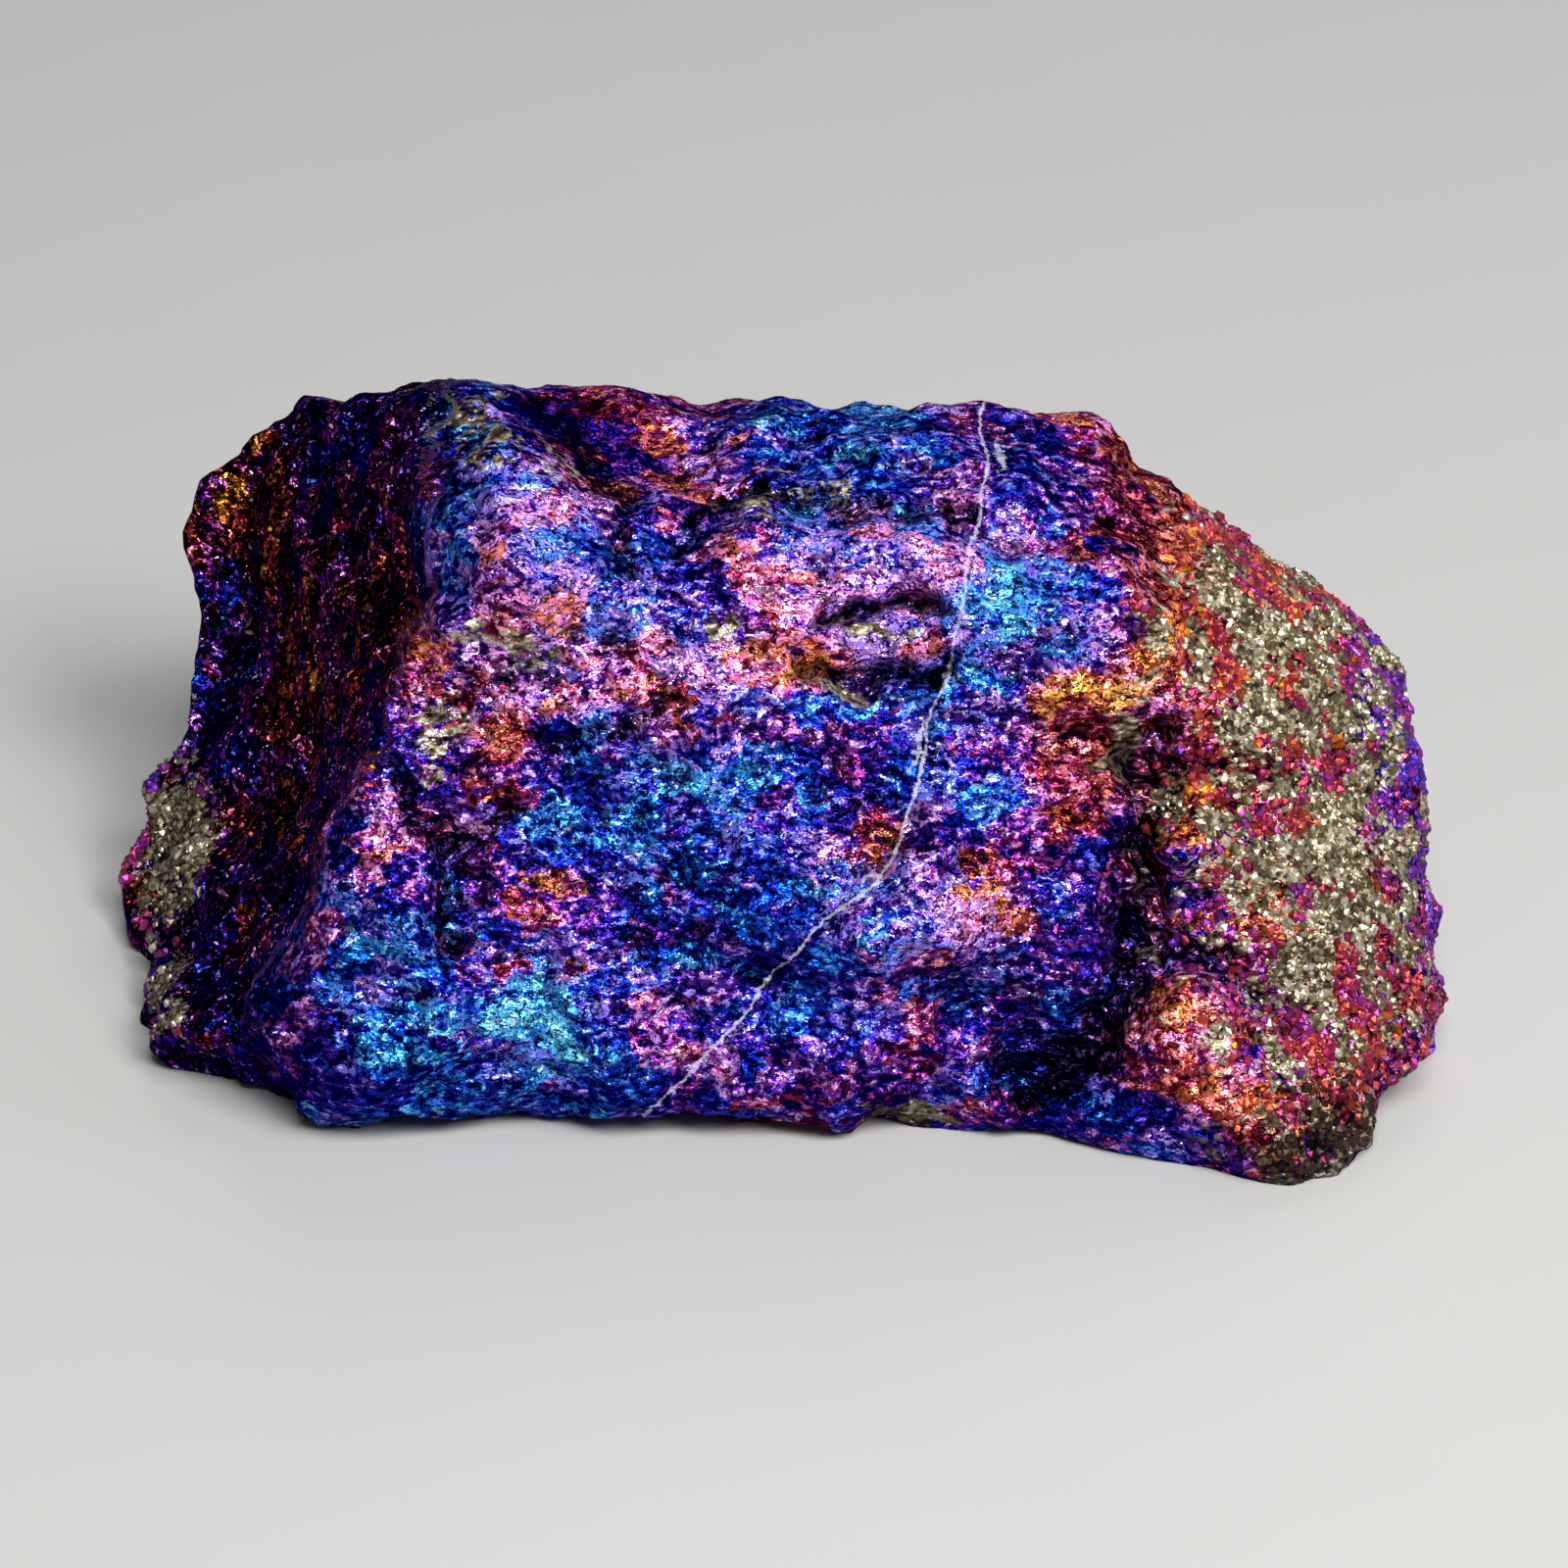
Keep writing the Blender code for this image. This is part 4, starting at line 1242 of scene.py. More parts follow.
class MaterialTree:
    """A material under construction: every node comes from its node method."""

    def __init__(self, name: str) -> None:
        """Starts an empty material.

        Args:
            name: the material's name.
        """
        self.material = bpy.data.materials.new(name)
        self.material.use_nodes = True
        self.material.node_tree.nodes.clear()

    def node(
        self, kind: str, settings: dict[str, Any] | None = None, values: dict[str | int, Any] | None = None
    ) -> bpy.types.Node:
        """Adds one node.

        Args:
            kind: the node's type.
            settings: what is set on it first; "stops" are a ramp's positions and colours.
            values: numbers, colours, links or Values for its input sockets, by name or number.

        Returns:
            The node.
        """
        made = self.material.node_tree.nodes.new(kind)
        for name, setting in (settings or {}).items():
            if name == "stops":
                self.set_stops(made.color_ramp, setting)
            else:
                setattr(made, name, setting)
        for name, value in (values or {}).items():
            source = value.socket if isinstance(value, Value) else value
            if isinstance(source, Socket):
                self.material.node_tree.links.new(source, made.inputs[name])
            else:
                made.inputs[name].default_value = source
        return made

    def set_stops(self, ramp: bpy.types.ColorRamp, stops: Stops) -> None:
        """Fills a ramp with stops.

        Args:
            ramp: the ramp.
            stops: positions and colours, in order.
        """
        while len(ramp.elements) < len(stops):
            ramp.elements.new(1.0)
        for element, (position, colour) in zip(ramp.elements, stops):
            element.position = position
            element.color = (*colour, 1)

    def maths(self, operation: str, *operands: Value | float, clamp: bool = False) -> Value:
        """A Math node on the operands.

        Args:
            operation: the node's operation.
            operands: Values or numbers.
            clamp: whether the result is kept from 0 to 1.

        Returns:
            The result.
        """
        settings = {"operation": operation, "use_clamp": clamp}
        made = self.node("ShaderNodeMath", settings, dict(enumerate(operands)))
        return Value(self, made.outputs["Value"])

    def vector(self, operation: str, first: Any, second: Any = None, scale: Any = None) -> Socket:
        """A Vector Math node.

        Args:
            operation: the node's operation.
            first: a vector or a link.
            second: another one, where the operation has it.
            scale: the number for a SCALE.

        Returns:
            The vector output.
        """
        values: dict[str | int, Any] = {0: first}
        if second is not None:
            values[1] = second
        if scale is not None:
            values["Scale"] = scale
        return self.node("ShaderNodeVectorMath", {"operation": operation}, values).outputs["Vector"]

    def scaled(self, colour: Any, scale: Any) -> Socket:
        """A colour or a vector times a number."""
        return self.vector("SCALE", colour, scale=scale)

    def mixed(self, share: Any, first: Any, second: Any) -> Socket:
        """Two colours mixed.

        Args:
            share: how much of the second.
            first: a colour or a link.
            second: another one.

        Returns:
            The colour output.
        """
        values: dict[str | int, Any] = {0: share, 6: first, 7: second}
        return self.node("ShaderNodeMix", {"data_type": "RGBA"}, values).outputs[2]

    def ramp(self, position: Value, stops: Stops) -> Socket:
        """The colour of a ramp with these stops at a position."""
        return self.node("ShaderNodeValToRGB", {"stops": stops}, {"Fac": position}).outputs["Color"]

    def attribute(self, name: str) -> bpy.types.NodeOutputs:
        """The outputs of a vertex attribute."""
        return self.node("ShaderNodeAttribute", {"attribute_name": name}).outputs

    def attribute_value(self, name: str) -> Value:
        """A vertex attribute of one number."""
        return Value(self, self.attribute(name)["Fac"])

    def cells(self, place: Any, size: float) -> bpy.types.NodeOutputs:
        """Cells of broken grain.

        Args:
            place: the pattern's coordinates, in millimetres.
            size: the cells' size in millimetres.

        Returns:
            The outputs: distance to the cell's middle, and three numbers by chance for each cell.
        """
        return self.node("ShaderNodeTexVoronoi", {}, {"Vector": place, "Scale": 1 / size}).outputs

    def noise(
        self, place: Any, size: float, detail: float = 2.0, roughness: float = 0.6
    ) -> bpy.types.NodeOutputs:
        """Smooth noise.

        Args:
            place: the pattern's coordinates, in millimetres.
            size: the largest features' size in millimetres.
            detail: how many finer octaves.
            roughness: how strong each finer octave is beside the one before.

        Returns:
            The outputs, a number and a colour.
        """
        values = {"Vector": place, "Scale": 1 / size, "Detail": detail, "Roughness": roughness}
        return self.node("ShaderNodeTexNoise", {}, values).outputs

    def noise_value(self, place: Any, size: float, detail: float = 2.0, roughness: float = 0.6) -> Value:
        """Smooth noise as one number, about 0.3 to 0.7."""
        return Value(self, self.noise(place, size, detail, roughness)["Fac"])

    def parts(self, colour: Any) -> tuple[Value, Value, Value]:
        """The three numbers of a colour."""
        outputs = self.node("ShaderNodeSeparateColor", {}, {"Color": colour}).outputs
        return Value(self, outputs["Red"]), Value(self, outputs["Green"]), Value(self, outputs["Blue"])

    def tilted(self, normal: Any, chances: Any, amount: float) -> Socket:
        """A normal turned by chance, the same over each cell.

        Args:
            normal: the normal before.
            chances: three numbers from 0 to 1 for each cell.
            amount: how far it turns.

        Returns:
            The unit normal.
        """
        offset = self.scaled(self.vector("SUBTRACT", chances, (0.5, 0.5, 0.5)), amount)
        return self.vector("NORMALIZE", self.vector("ADD", normal, offset))

    def finished(self, values: dict[str, Any]) -> bpy.types.Material:
        """Ends the material with a Principled shader.

        Args:
            values: what its sockets take.

        Returns:
            The material.
        """
        shader = self.node("ShaderNodeBsdfPrincipled", {}, values)
        self.node("ShaderNodeOutputMaterial", {}, {"Surface": shader.outputs["BSDF"]})
        return self.material


@dataclass(frozen=True)
class FilmColours:
    """Colours of the tarnish film by thickness, and of the bare ore under it."""

    film: tuple[tuple[Film, Colour], ...] = (
        (Film.BRONZE, (0.16, 0.08, 0.03)),
        (Film.GOLD, (0.80, 0.36, 0.03)),
        (Film.ORANGE, (0.66, 0.15, 0.03)),
        (Film.CORAL, (0.48, 0.06, 0.05)),
        (Film.ROSE, (0.32, 0.02, 0.08)),
        (Film.PINK, (0.34, 0.04, 0.28)),
        (Film.ORCHID, (0.17, 0.03, 0.42)),
        (Film.VIOLET, (0.07, 0.015, 0.38)),
        (Film.INDIGO, (0.014, 0.012, 0.42)),
        (Film.BLUE, (0.005, 0.028, 0.56)),
        (Film.AZURE, (0.005, 0.08, 0.66)),
        (Film.CYAN, (0.02, 0.26, 0.82)),
    )
    # Painted highlights: paler colours of the film by thickness
    painted_glint: tuple[tuple[Film, Colour], ...] = (
        (Film.BRONZE, (0.60, 0.40, 0.20)),
        (Film.GOLD, (1.00, 0.52, 0.07)),
        (Film.ORANGE, (1.00, 0.34, 0.10)),
        (Film.CORAL, (1.00, 0.24, 0.18)),
        (Film.ROSE, (1.00, 0.24, 0.42)),
        (Film.PINK, (1.00, 0.34, 0.90)),
        (Film.ORCHID, (0.72, 0.34, 1.00)),
        (Film.VIOLET, (0.44, 0.24, 1.00)),
        (Film.INDIGO, (0.22, 0.18, 1.00)),
        (Film.BLUE, (0.09, 0.25, 1.00)),
        (Film.AZURE, (0.05, 0.36, 1.00)),
        (Film.CYAN, (0.16, 0.70, 1.00)),
    )
    bare: tuple[tuple[float, Colour], ...] = (
        (0.36, (0.035, 0.018, 0.014)),
        (0.46, (0.135, 0.110, 0.055)),
        (0.56, (0.285, 0.252, 0.170)),
        (0.70, (0.56, 0.52, 0.40)),
    )

    def film_stops(self) -> Stops:
        """The film's own colours as a ramp's stops."""
        return [(film.value, colour) for film, colour in self.film]

    def painted_glint_stops(self) -> Stops:
        """The film's paler colours, painted as highlights and sparks where the foil's tone is high, as a
        ramp's stops.
        """
        return [(film.value, colour) for film, colour in self.painted_glint]


@dataclass
class OreGrain:
    """What all layers of the ore's finish read: cells of three sizes with their chances, and noise.

    Sizes are in millimetres. Domain, cell and facet are three numbers by chance for each cell.
    """

    tree: MaterialTree
    draw: tuple[float, float, float] = (0.68, 1.0, 1.0)
    drift_size: float = 1.4
    drift_reach: float = 2.0
    domain_size: float = 1.9
    cell_size: float = 0.60
    facet_size: float = 0.36
    fine_size: float = 0.5
    foil_size: float = 0.46
    foil_roughness: float = 0.50
    wrinkle_size: float = 0.46
    # Painted sparks: their radius, soft rim, and the share of facets that have one
    spark_radius: Pair = (0.12, 0.40)
    spark_rim: float = 0.08
    spark_range: Pair = (0.64, 0.70)

    def __post_init__(self) -> None:
        """Adds the patterns to the tree."""
        tree = self.tree
        self.place = tree.attribute("place")["Vector"]
        drawn = tree.vector("MULTIPLY", self.place, self.draw)
        drift = tree.noise(self.place, self.drift_size, 3.0)["Color"]
        warped = tree.vector("ADD", drawn, tree.scaled(drift, self.drift_reach))
        self.domain = tree.parts(tree.cells(warped, self.domain_size)["Color"])
        self.cell_chances = tree.cells(warped, self.cell_size)["Color"]
        self.cell = tree.parts(self.cell_chances)
        facets = tree.cells(warped, self.facet_size)
        self.facet_chances = facets["Color"]
        self.facet = tree.parts(self.facet_chances)
        self.fine = tree.noise_value(warped, self.fine_size, 3.0)
        self.foil = tree.noise_value(drawn, self.foil_size, 2.0, self.foil_roughness)
        self.wrinkle = tree.noise_value(warped, self.wrinkle_size, 2.0)
        # The painted light and shade of each place
        self.sheen = tree.attribute_value("sheen")
        self.fibre = tree.attribute_value("fibre")
        # Painted sparks: small bright spots on some facets
        radius = self.facet[2].levelled(*self.spark_radius)
        painted_spark = 1 - Value(tree, facets["Distance"]).step(radius - self.spark_rim, radius)
        self.painted_spark = painted_spark * self.facet[0].step(*self.spark_range)


@dataclass(frozen=True)
class TarnishedOre:
    """The lump's finish: domains of film colour on crinkled metal with painted highlights and painted
    shade, brassy places, painted shade in hollows, and the vein.

    A pair named for what it goes by ("shade_by_cell") is the level at 0 and the gain to 1. A range
    is where a soft change begins and ends, and chances are the weights of numbers by chance.
    """

    colours: FilmColours = FilmColours()
    # The film's thickness
    lively_film_range: Pair = (0.20, 0.46)
    spread_by_film: Pair = (0.25, 0.75)
    fibre_spread: float = 0.3
    domain_spread: float = 0.40
    cell_spread: float = 0.22
    fine_spread: float = 0.25
    # Foil: tone, painted highlights and own colour, painted shade in wrinkles, painted sparks
    tone_chances: tuple[float, float, float] = (0.20, 0.12, 0.10)
    pale_edge: float = 0.535
    painted_light_shift: float = 0.062
    pale_width: float = 0.05
    own_range: Pair = (0.18, 0.09)
    line_range: Pair = (0.018, 0.052)
    line_by_wrinkle: Pair = (0.03, 0.97)
    shade_by_cell: Pair = (0.40, 0.70)
    own_shade_by_cell: Pair = (0.5, 0.8)
    shade_by_facet: Pair = (0.6, 0.5)
    shade_by_painted_light: Pair = (1.0, 0.10)
    flash_range: Pair = (0.57, 0.64)
    flash_shares: Pair = (0.22, 0.50)
    navy_range: Pair = (0.30, 0.46)
    # The left face: nearly black, partly painted shade, with painted sparks
    patchy_range: Pair = (0.15, 0.85)
    glow_range: Pair = (0.47, 0.60)
    glow_by_foil: Pair = (0.03, 0.50)
    glow_by_patch: Pair = (0.3, 1.3)
    glint_by_facet: Pair = (0.5, 1.5)
    sparks_by_patch: Pair = (0.15, 0.85)
    # Brass with painted light, shade and sparks, and the painted shade of hollows
    grey_chances: Pair = (0.16, 0.4)
    brass_by_painted_light: Pair = (1.0, 0.4)
    brightest_brass: float = 1.15
    brass_spark: float = 0.4
    bare_chances: tuple[float, float, float, float] = (0.20, 0.50, 0.35, 0.6)
    bare_range: Pair = (0.46, 0.56)
    hollow_by_tone: Pair = (1.6, -1.4)
    hollow_shade_share: float = 0.9
    # The vein
    vein_half_width: float = 0.078
    vein_by_foil: Pair = (0.4, 1.2)
    vein_rim: Pair = (-0.03, 0.05)
    vein_by_fine: Pair = (0.325, 0.9)
    fray_size: float = 0.45
    vein_fray: float = 0.6
    chip_fray: float = 1.6
    chip_range: Pair = (0.50, 0.70)
    chip_share: float = 0.8
    # Relief, and what the vein, the brass and the painted highlights take from the metal or add to its
    # roughness
    cell_tilt: float = 0.35
    facet_tilt: float = 0.60
    bump_height: float = 0.30 * MM
    metal_losses: tuple[float, float, float] = (0.90, 0.20, 0.45)
    roughness_by_cell: Pair = (0.20, 0.16)
    roughness_gains: Pair = (0.24, 0.30)
    edge_strength: float = 0.25
    vein_colour: Colour = (0.34, 0.34, 0.42)
    edge_tint: Colour = (0.30, 0.22, 0.50)
    # Painted shade under thick film and thin, and the white of painted flashes
    navy: Colour = (0.002, 0.002, 0.075)
    maroon: Colour = (0.050, 0.003, 0.012)
    white: Colour = (0.92, 0.86, 1.0)
    # White of the brass's painted sparks
    brass_glint_white: Colour = (0.95, 0.92, 0.84)
    # Colour of the painted shade in hollows
    dark: Colour = (0.003, 0.002, 0.010)

    def thickness(self, grain: OreGrain) -> Value:
        """The film's thickness: that of the place, varied by domain, by cell and finely.

        Args:
            grain: the patterns.

        Returns:
            Thickness from 0 to 1, on which the ramps stand.
        """
        mean = grain.tree.attribute_value("film")
        spread = mean.step(*self.lively_film_range).levelled(*self.spread_by_film)
        spread = (spread + self.fibre_spread * grain.fibre).clamped()
        varied = (grain.domain[0] - 0.5) * self.domain_spread + (grain.cell[0] - 0.5) * self.cell_spread
        return (mean + varied * spread).varied((grain.fine, self.fine_spread))

    def tone(self, grain: OreGrain) -> Value:
        """The foil's height, varied by chance, which decides between painted highlight, own colour and
        painted shade.
        """
        chances = (grain.domain[1], grain.cell[2], grain.facet[1])
        return grain.foil.varied(*zip(chances, self.tone_chances))

    def foil(self, grain: OreGrain, tone: Value, thickness: Value) -> tuple[Socket, Value]:
        """Crinkled foil: painted highlights where its tone is high, its own colour beside that, painted
        shade between and in wrinkles.

        Args:
            grain: the patterns.
            tone: the foil's tone.
            thickness: the film's thickness.

        Returns:
            The colour, and the share of painted highlight and own colour that loses metal.
        """
        tree, cell, facet = grain.tree, grain.cell, grain.facet
        # Painted light turns more of the foil pale and brighter, painted shade less and darker
        edge = self.pale_edge - self.painted_light_shift * grain.sheen
        lit = tone.step(edge, edge + self.pale_width)
        own = tone.step(edge - self.own_range[0], edge - self.own_range[1])
        # Painted shade in the wrinkles
        line = abs(grain.wrinkle - 0.5).step(*self.line_range).levelled(*self.line_by_wrinkle)
        by_facet = facet[1].levelled(*self.shade_by_facet)
        shade = cell[2].levelled(*self.shade_by_cell) * by_facet
        shade = shade * grain.sheen.levelled(*self.shade_by_painted_light)
        by_fine, by_spark = self.flash_shares
        painted_flash = (grain.fine.step(*self.flash_range) * by_fine + grain.painted_spark * by_spark).clamped()
        # Painted highlights: paler film colours, some flashing white
        pale = tree.scaled(tree.ramp(thickness, self.colours.painted_glint_stops()), shade)
        pale = tree.mixed(painted_flash, pale, (*self.white, 1))
        base = tree.ramp(thickness, self.colours.film_stops())
        base = tree.scaled(base, cell[1].levelled(*self.own_shade_by_cell) * by_facet)
        # Painted shade: navy under thick film, maroon under thin
        deep = tree.mixed(thickness.step(*self.navy_range), (*self.maroon, 1), (*self.navy, 1))
        base = tree.mixed(own * line, deep, base)
        return tree.mixed(lit * line, base, pale), (0.5 * own + 0.5 * lit) * line

    def left_face(self, grain: OreGrain, thickness: Value) -> Socket:
        """The left face: nearly black, partly its own dark film and partly painted shade, with its film
        colours dimly showing and painted sparks, in patches.

        Args:
            grain: the patterns.
            thickness: the film's thickness.

        Returns:
            The colour.
        """
        tree = grain.tree
        patchy = grain.domain[1].step(*self.patchy_range)
        glow = grain.foil.step(*self.glow_range).levelled(*self.glow_by_foil)
        glow = glow * patchy.levelled(*self.glow_by_patch)
        dim = tree.scaled(tree.ramp(thickness, self.colours.film_stops()), glow)
        bright = tree.ramp(thickness, self.colours.painted_glint_stops())
        bright = tree.scaled(bright, grain.facet[1].levelled(*self.glint_by_facet))
        return tree.mixed(grain.painted_spark * patchy.levelled(*self.sparks_by_patch), dim, bright)

    def brass(self, grain: OreGrain) -> Socket:
        """Bare brass, dimmed and brightened by the painted light and shade, with painted white sparks.

        Args:
            grain: the patterns.

        Returns:
            The colour.
        """
        grey = grain.foil.varied(*zip((grain.facet[1], grain.wrinkle), self.grey_chances))
        # Painted light and shade brighten or dim the brass
        scale = grain.sheen.levelled(*self.brass_by_painted_light).maths("MINIMUM", self.brightest_brass)
        dulled = grain.tree.scaled(grain.tree.ramp(grey, list(self.colours.bare)), scale)
        return grain.tree.mixed(grain.painted_spark * self.brass_spark, dulled, (*self.brass_glint_white, 1))

    def vein(self, grain: OreGrain) -> Value:
        """The pale vein with its frayed edges, and its chips.

        Args:
            grain: the patterns.

        Returns:
            Its share from 0 to 1.
        """
        tree = grain.tree
        fray = tree.noise_value(grain.place, self.fray_size, 4.0)
        half_width = self.vein_half_width * grain.foil.levelled(*self.vein_by_foil)
        off_vein = abs(tree.attribute_value("vein").varied((fray, self.vein_fray))) - half_width
        chip = tree.attribute_value("chip").varied((fray, self.chip_fray)).step(*self.chip_range)
        line = (1 - off_vein.step(*self.vein_rim)) * grain.fine.levelled(*self.vein_by_fine)
        return (line + self.chip_share * chip).clamped()

    def relief(self, grain: OreGrain) -> Socket:
        """The normal: turned by chance from cell to cell and facet to facet, with the foil's bumps.

        Args:
            grain: the patterns.

        Returns:
            The normal.
        """
        tree = grain.tree
        normal = tree.node("ShaderNodeNewGeometry").outputs["Normal"]
        normal = tree.tilted(normal, grain.cell_chances, self.cell_tilt)
        normal = tree.tilted(normal, grain.facet_chances, self.facet_tilt)
        values = {"Height": grain.foil, "Normal": normal, "Strength": 1.0, "Distance": self.bump_height}
        return tree.node("ShaderNodeBump", {}, values).outputs["Normal"]

    def build(self) -> bpy.types.Material:
        """The material.

        Returns:
            It, ready for the ore surface.
        """
        tree = MaterialTree("tarnished_ore")
        grain = OreGrain(tree)
        thickness, tone = self.thickness(grain), self.tone(grain)
        foil, foil_painted_shine = self.foil(grain, tone, thickness)
        lively = tree.mixed(grain.fibre, foil, self.left_face(grain, thickness))
        chances = (grain.domain[2], grain.cell[1], grain.facet[1], grain.fine)
        bareness = tree.attribute_value("brass").varied(*zip(chances, self.bare_chances))
        bareness = bareness.step(*self.bare_range)
        ore = tree.mixed(bareness, lively, self.brass(grain))
        # Painted shade in hollows and clefts, stronger where the foil's tone is low
        depth = (tree.attribute_value("hollow") * tone.levelled(*self.hollow_by_tone)).clamped()
        ore = tree.mixed(depth * self.hollow_shade_share, ore, (*self.dark, 1))
        vein = self.vein(grain)
        # Painted highlights and sparks lose metal, so that their colour shows under any light
        painted_shine = (foil_painted_shine * (1 - grain.fibre) + grain.painted_spark * grain.fibre) * (1 - depth)
        by_vein, by_brass, by_painted_shine = self.metal_losses
        brass_gain, vein_gain = self.roughness_gains
        roughness = grain.cell[1].levelled(*self.roughness_by_cell)
        return tree.finished(
            {
                "Base Color": tree.mixed(vein, ore, (*self.vein_colour, 1)),
                "Metallic": 1.0 - by_vein * vein - by_brass * bareness - by_painted_shine * painted_shine * (1 - bareness),
                "Roughness": roughness + brass_gain * bareness + vein_gain * vein,
                "Specular IOR Level": self.edge_strength,
                "Specular Tint": (*self.edge_tint, 1),
                "Normal": self.relief(grain),
            }
        )


@dataclass(frozen=True)
class BrassyGrainFinish:
    """The grains' finish: pale brassy crystals, some of them tarnished.

    A pair named for what it goes by is the level at 0 and the gain to 1.
    """

    colours: FilmColours = FilmColours()
    shade_size: float = 0.5
    film_chance: float = 0.3
    lightness_by_pale: Pair = (0.22, 0.3)
    shade_gain: float = 0.4
    tint_by_pale: Pair = (0.45, 0.7)
    metallic: float = 0.85
    roughness_by_shade: Pair = (0.30, 0.25)
    bump_size: float = 0.25
    bump_strength: float = 0.4
    bump_height: float = 0.1 * MM

    def build(self) -> bpy.types.Material:
        """The material.

        Returns:
            It, ready for the grains.
        """
        tree = MaterialTree("brassy_grain")
        place = tree.scaled(tree.node("ShaderNodeTexCoord").outputs["Object"], 1 / MM)
        shade = tree.noise_value(place, self.shade_size, 3.0)
        pale = tree.attribute_value("pale")
        thickness = tree.attribute_value("film").varied((shade, self.film_chance))
        film = tree.ramp(thickness, self.colours.film_stops())
        # Paleness, which also carries the painted shade, sets how light the bare grains and the tinted ones
        # are
        lightness = pale.levelled(*self.lightness_by_pale) + self.shade_gain * shade
        bare = tree.ramp(lightness, list(self.colours.bare))
        tint = tree.scaled(film, pale.levelled(*self.tint_by_pale).clamped())
        height = tree.noise_value(place, self.bump_size, 2.0)
        values = {"Height": height, "Strength": self.bump_strength, "Distance": self.bump_height}
        return tree.finished(
            {
                "Base Color": tree.mixed(tree.attribute_value("brass"), tint, bare),
                "Metallic": self.metallic,
                "Roughness": shade.levelled(*self.roughness_by_shade),
                "Normal": tree.node("ShaderNodeBump", {}, values).outputs["Normal"],
            }
        )


@dataclass(frozen=True)
class PaleFloor:
    """The studio's floor: a plain pale disc."""

    radius: float = 3.0
    drop: float = 0.02 * MM
    sides: int = 96
    colour: Colour = (0.36, 0.36, 0.355)
    grain_size: float = 0.02
    grain_shade: float = 0.97
    roughness: float = 0.7

    def build(self) -> None:
        """Builds the floor: a fan of triangles from its middle to points round its rim."""
        angles = np.linspace(0, 2 * math.pi, self.sides, endpoint=False)
        rim = np.stack([np.cos(angles), np.sin(angles), np.zeros(self.sides)], -1) * self.radius
        points = np.concatenate([[(0.0, 0.0, 0.0)], rim]) - np.array([0.0, 0.0, self.drop])
        numbers = np.arange(self.sides)
        triangles = np.stack([np.zeros(self.sides, int), numbers + 1, (numbers + 1) % self.sides + 1], -1)
        floor = mesh_object("floor", points, triangles, smooth=True)
        tree = MaterialTree("pale_floor")
        grain = tree.noise_value(tree.node("ShaderNodeTexCoord").outputs["Object"], self.grain_size, 3.0)
        darker = tuple(part * self.grain_shade for part in self.colour)
        colour = tree.mixed(grain, (*self.colour, 1), (*darker, 1))
        floor.data.materials.append(tree.finished({"Base Color": colour, "Roughness": self.roughness}))


@dataclass(frozen=True)
class Lamp:
    """A soft square studio light that looks at the specimen."""

    name: str
    azimuth: float
    elevation: float
    distance: float
    size: float
    power: float
    tint: Colour = (1.0, 1.0, 1.0)

    def build(self, target: Array) -> None:
        """Puts the light at its azimuth and elevation from the target.

        Args:
            target: where it looks.
        """
        light = bpy.data.lights.new(self.name, "AREA")
        light.shape, light.size = "SQUARE", self.size
        light.energy, light.color = self.power, self.tint
        lamp = bpy.data.objects.new(self.name, light)
        bpy.context.scene.collection.objects.link(lamp)
        turned, raised = math.radians(self.azimuth), math.radians(self.elevation)
        level = math.cos(raised)
        away = np.array([math.sin(turned) * level, -math.cos(turned) * level, math.sin(raised)])
        lamp.location = target + away * self.distance
        lamp.rotation_euler = (math.pi / 2 - raised, 0.0, turned)
        lamp.visible_camera = False


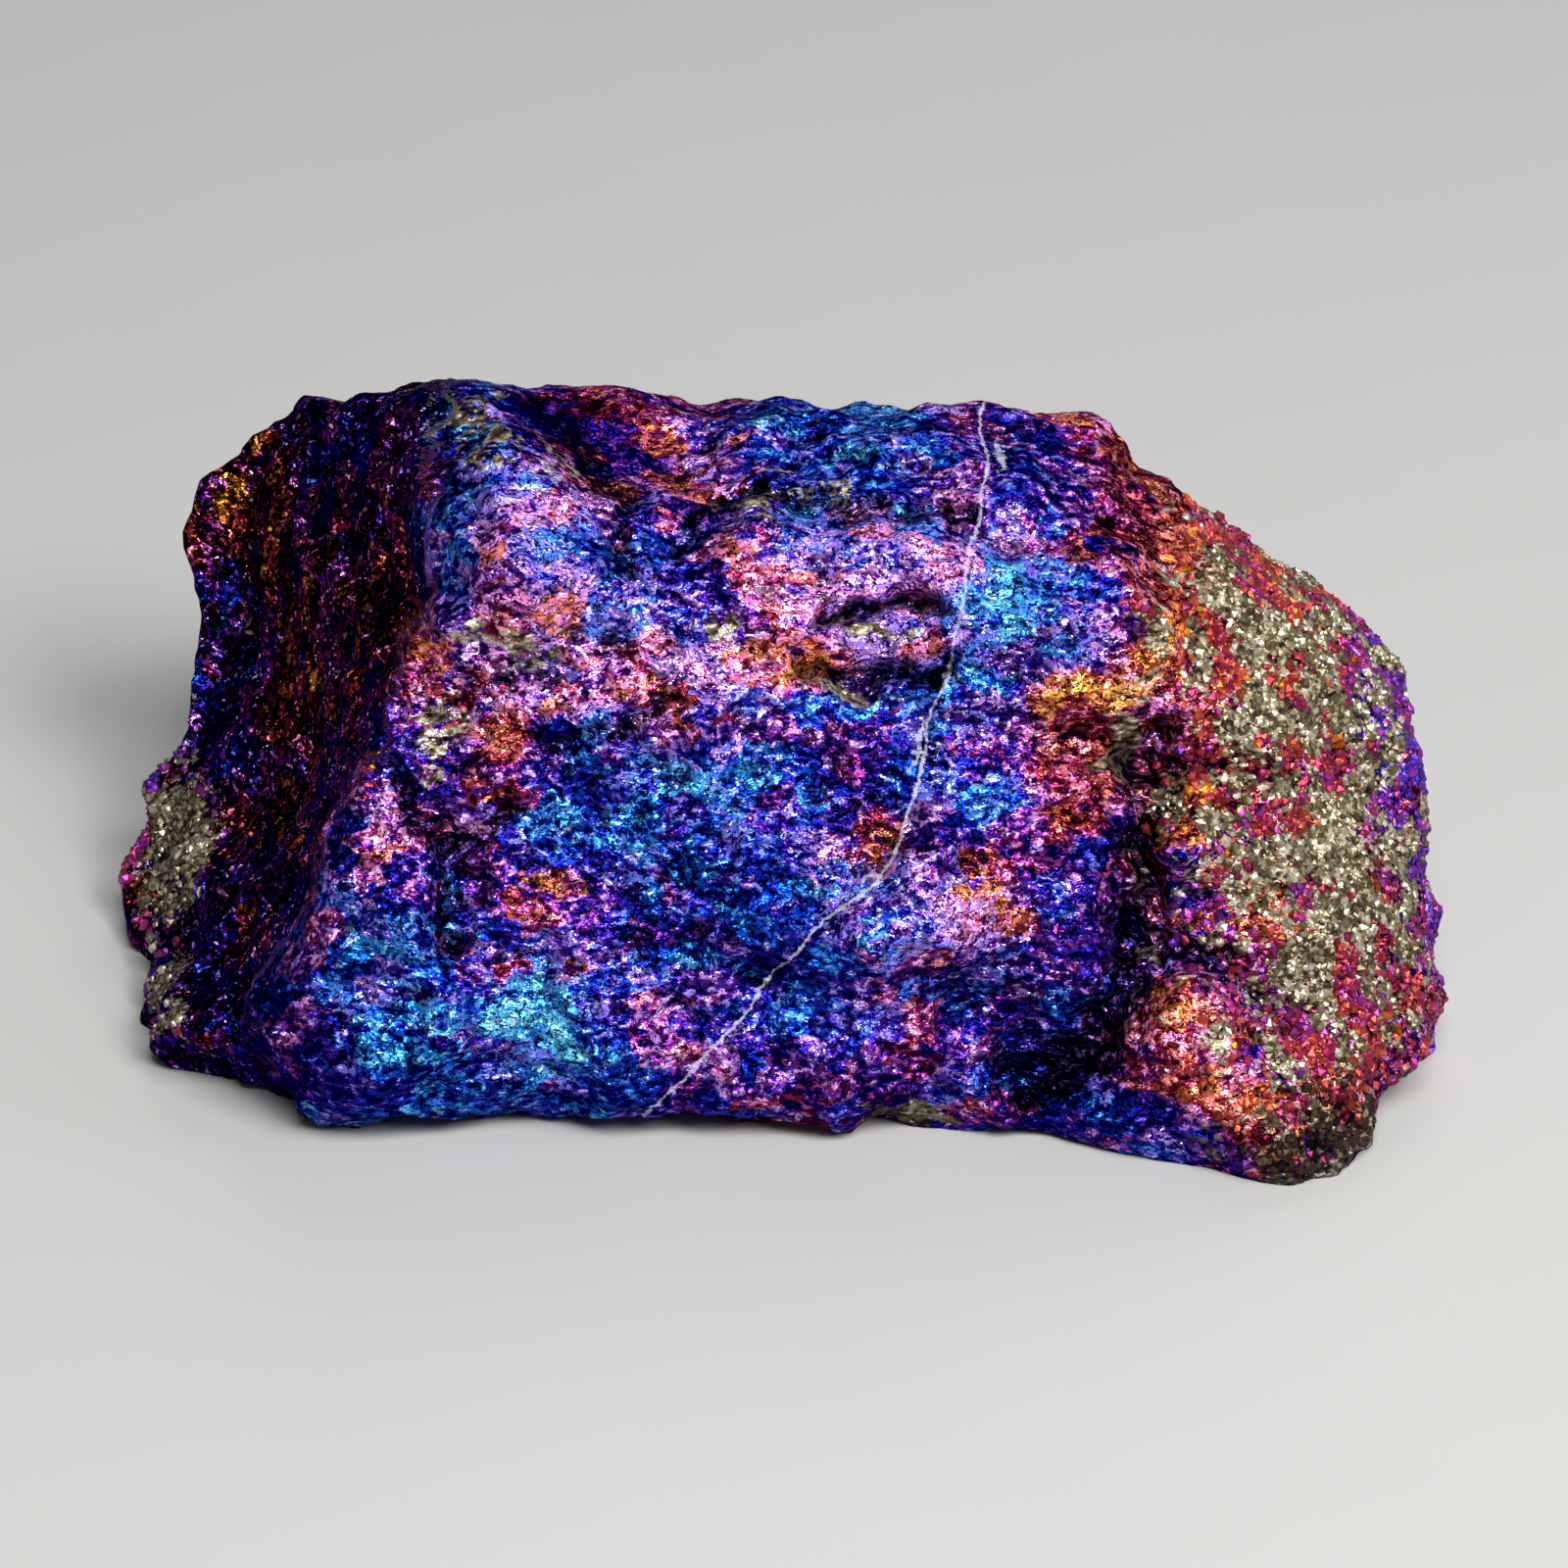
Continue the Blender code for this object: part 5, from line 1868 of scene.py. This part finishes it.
@dataclass(frozen=True)
class Studio:
    """Camera, lights and surroundings."""

    lens: float = 180.0
    sensor: float = 36.0
    view_span: float = 89.8 * MM
    elevation: float = math.radians(30)
    clip: Pair = (0.01, 20.0)
    world_colour: Colour = (0.92, 0.94, 1.0)
    world_strength: float = 0.13
    exposure: float = 0.0
    lamps: tuple[Lamp, ...] = (
        Lamp("key light", 36.0, 46.0, 0.60, 0.24, 5.0, (1.0, 0.98, 0.95)),
        Lamp("front light", 4.0, 56.0, 0.70, 0.22, 3.4),
        Lamp("fill light", 80.0, 26.0, 0.80, 0.30, 0.8, (0.90, 0.94, 1.0)),
        Lamp("back light", 165.0, 46.0, 0.80, 0.40, 1.6),
    )

    def camera(self, target: Array) -> None:
        """Puts up the camera at the photograph's viewing angle, square on to the broad face.

        Args:
            target: what it looks at.
        """
        data = bpy.data.cameras.new("camera")
        data.lens, data.sensor_width = self.lens, self.sensor
        data.clip_start, data.clip_end = self.clip
        camera = bpy.data.objects.new("camera", data)
        bpy.context.scene.collection.objects.link(camera)
        distance = self.view_span * self.lens / self.sensor
        towards = np.array([0.0, -math.cos(self.elevation), math.sin(self.elevation)])
        camera.location = target + towards * distance
        camera.rotation_euler = (math.pi / 2 - self.elevation, 0.0, 0.0)
        bpy.context.scene.camera = camera

    def surroundings(self) -> None:
        """A plain pale world and the view's own settings."""
        world = bpy.data.worlds.new("studio")
        world.use_nodes = True
        background = world.node_tree.nodes["Background"]
        background.inputs["Color"].default_value = (*self.world_colour, 1)
        background.inputs["Strength"].default_value = self.world_strength
        scene = bpy.context.scene
        scene.world = world
        scene.view_settings.view_transform = "Standard"
        scene.view_settings.exposure = self.exposure

    def build(self, target: Array) -> None:
        """Puts up the camera, the lights, the floor and the world.

        Args:
            target: the middle of the specimen.
        """
        self.camera(target)
        for lamp in self.lamps:
            lamp.build(target)
        self.surroundings()
        PaleFloor().build()


def dress(piece: Piece, finish: TarnishedOre | BrassyGrainFinish) -> None:
    """Gives a piece its finish and its body, and logs its count of triangles.

    Args:
        piece: the mesh object.
        finish: what it is finished with.
    """
    piece.data.materials.append(finish.build())
    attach(piece, "root")
    LOG.info("%s: %d triangles", piece.name, len(piece.data.polygons))


def main() -> None:
    """Builds the studio and the pieces, in order."""
    logging.basicConfig(level=logging.INFO, format="%(name)s %(message)s")
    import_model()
    surface = OreSurface()
    Studio().build(surface.form.middle())
    ore = surface.build()
    dress(ore, TarnishedOre())
    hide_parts("ore_lump")
    dress(BrassyGrains(surface).build(), BrassyGrainFinish())


if __name__ == "__main__":
    main()
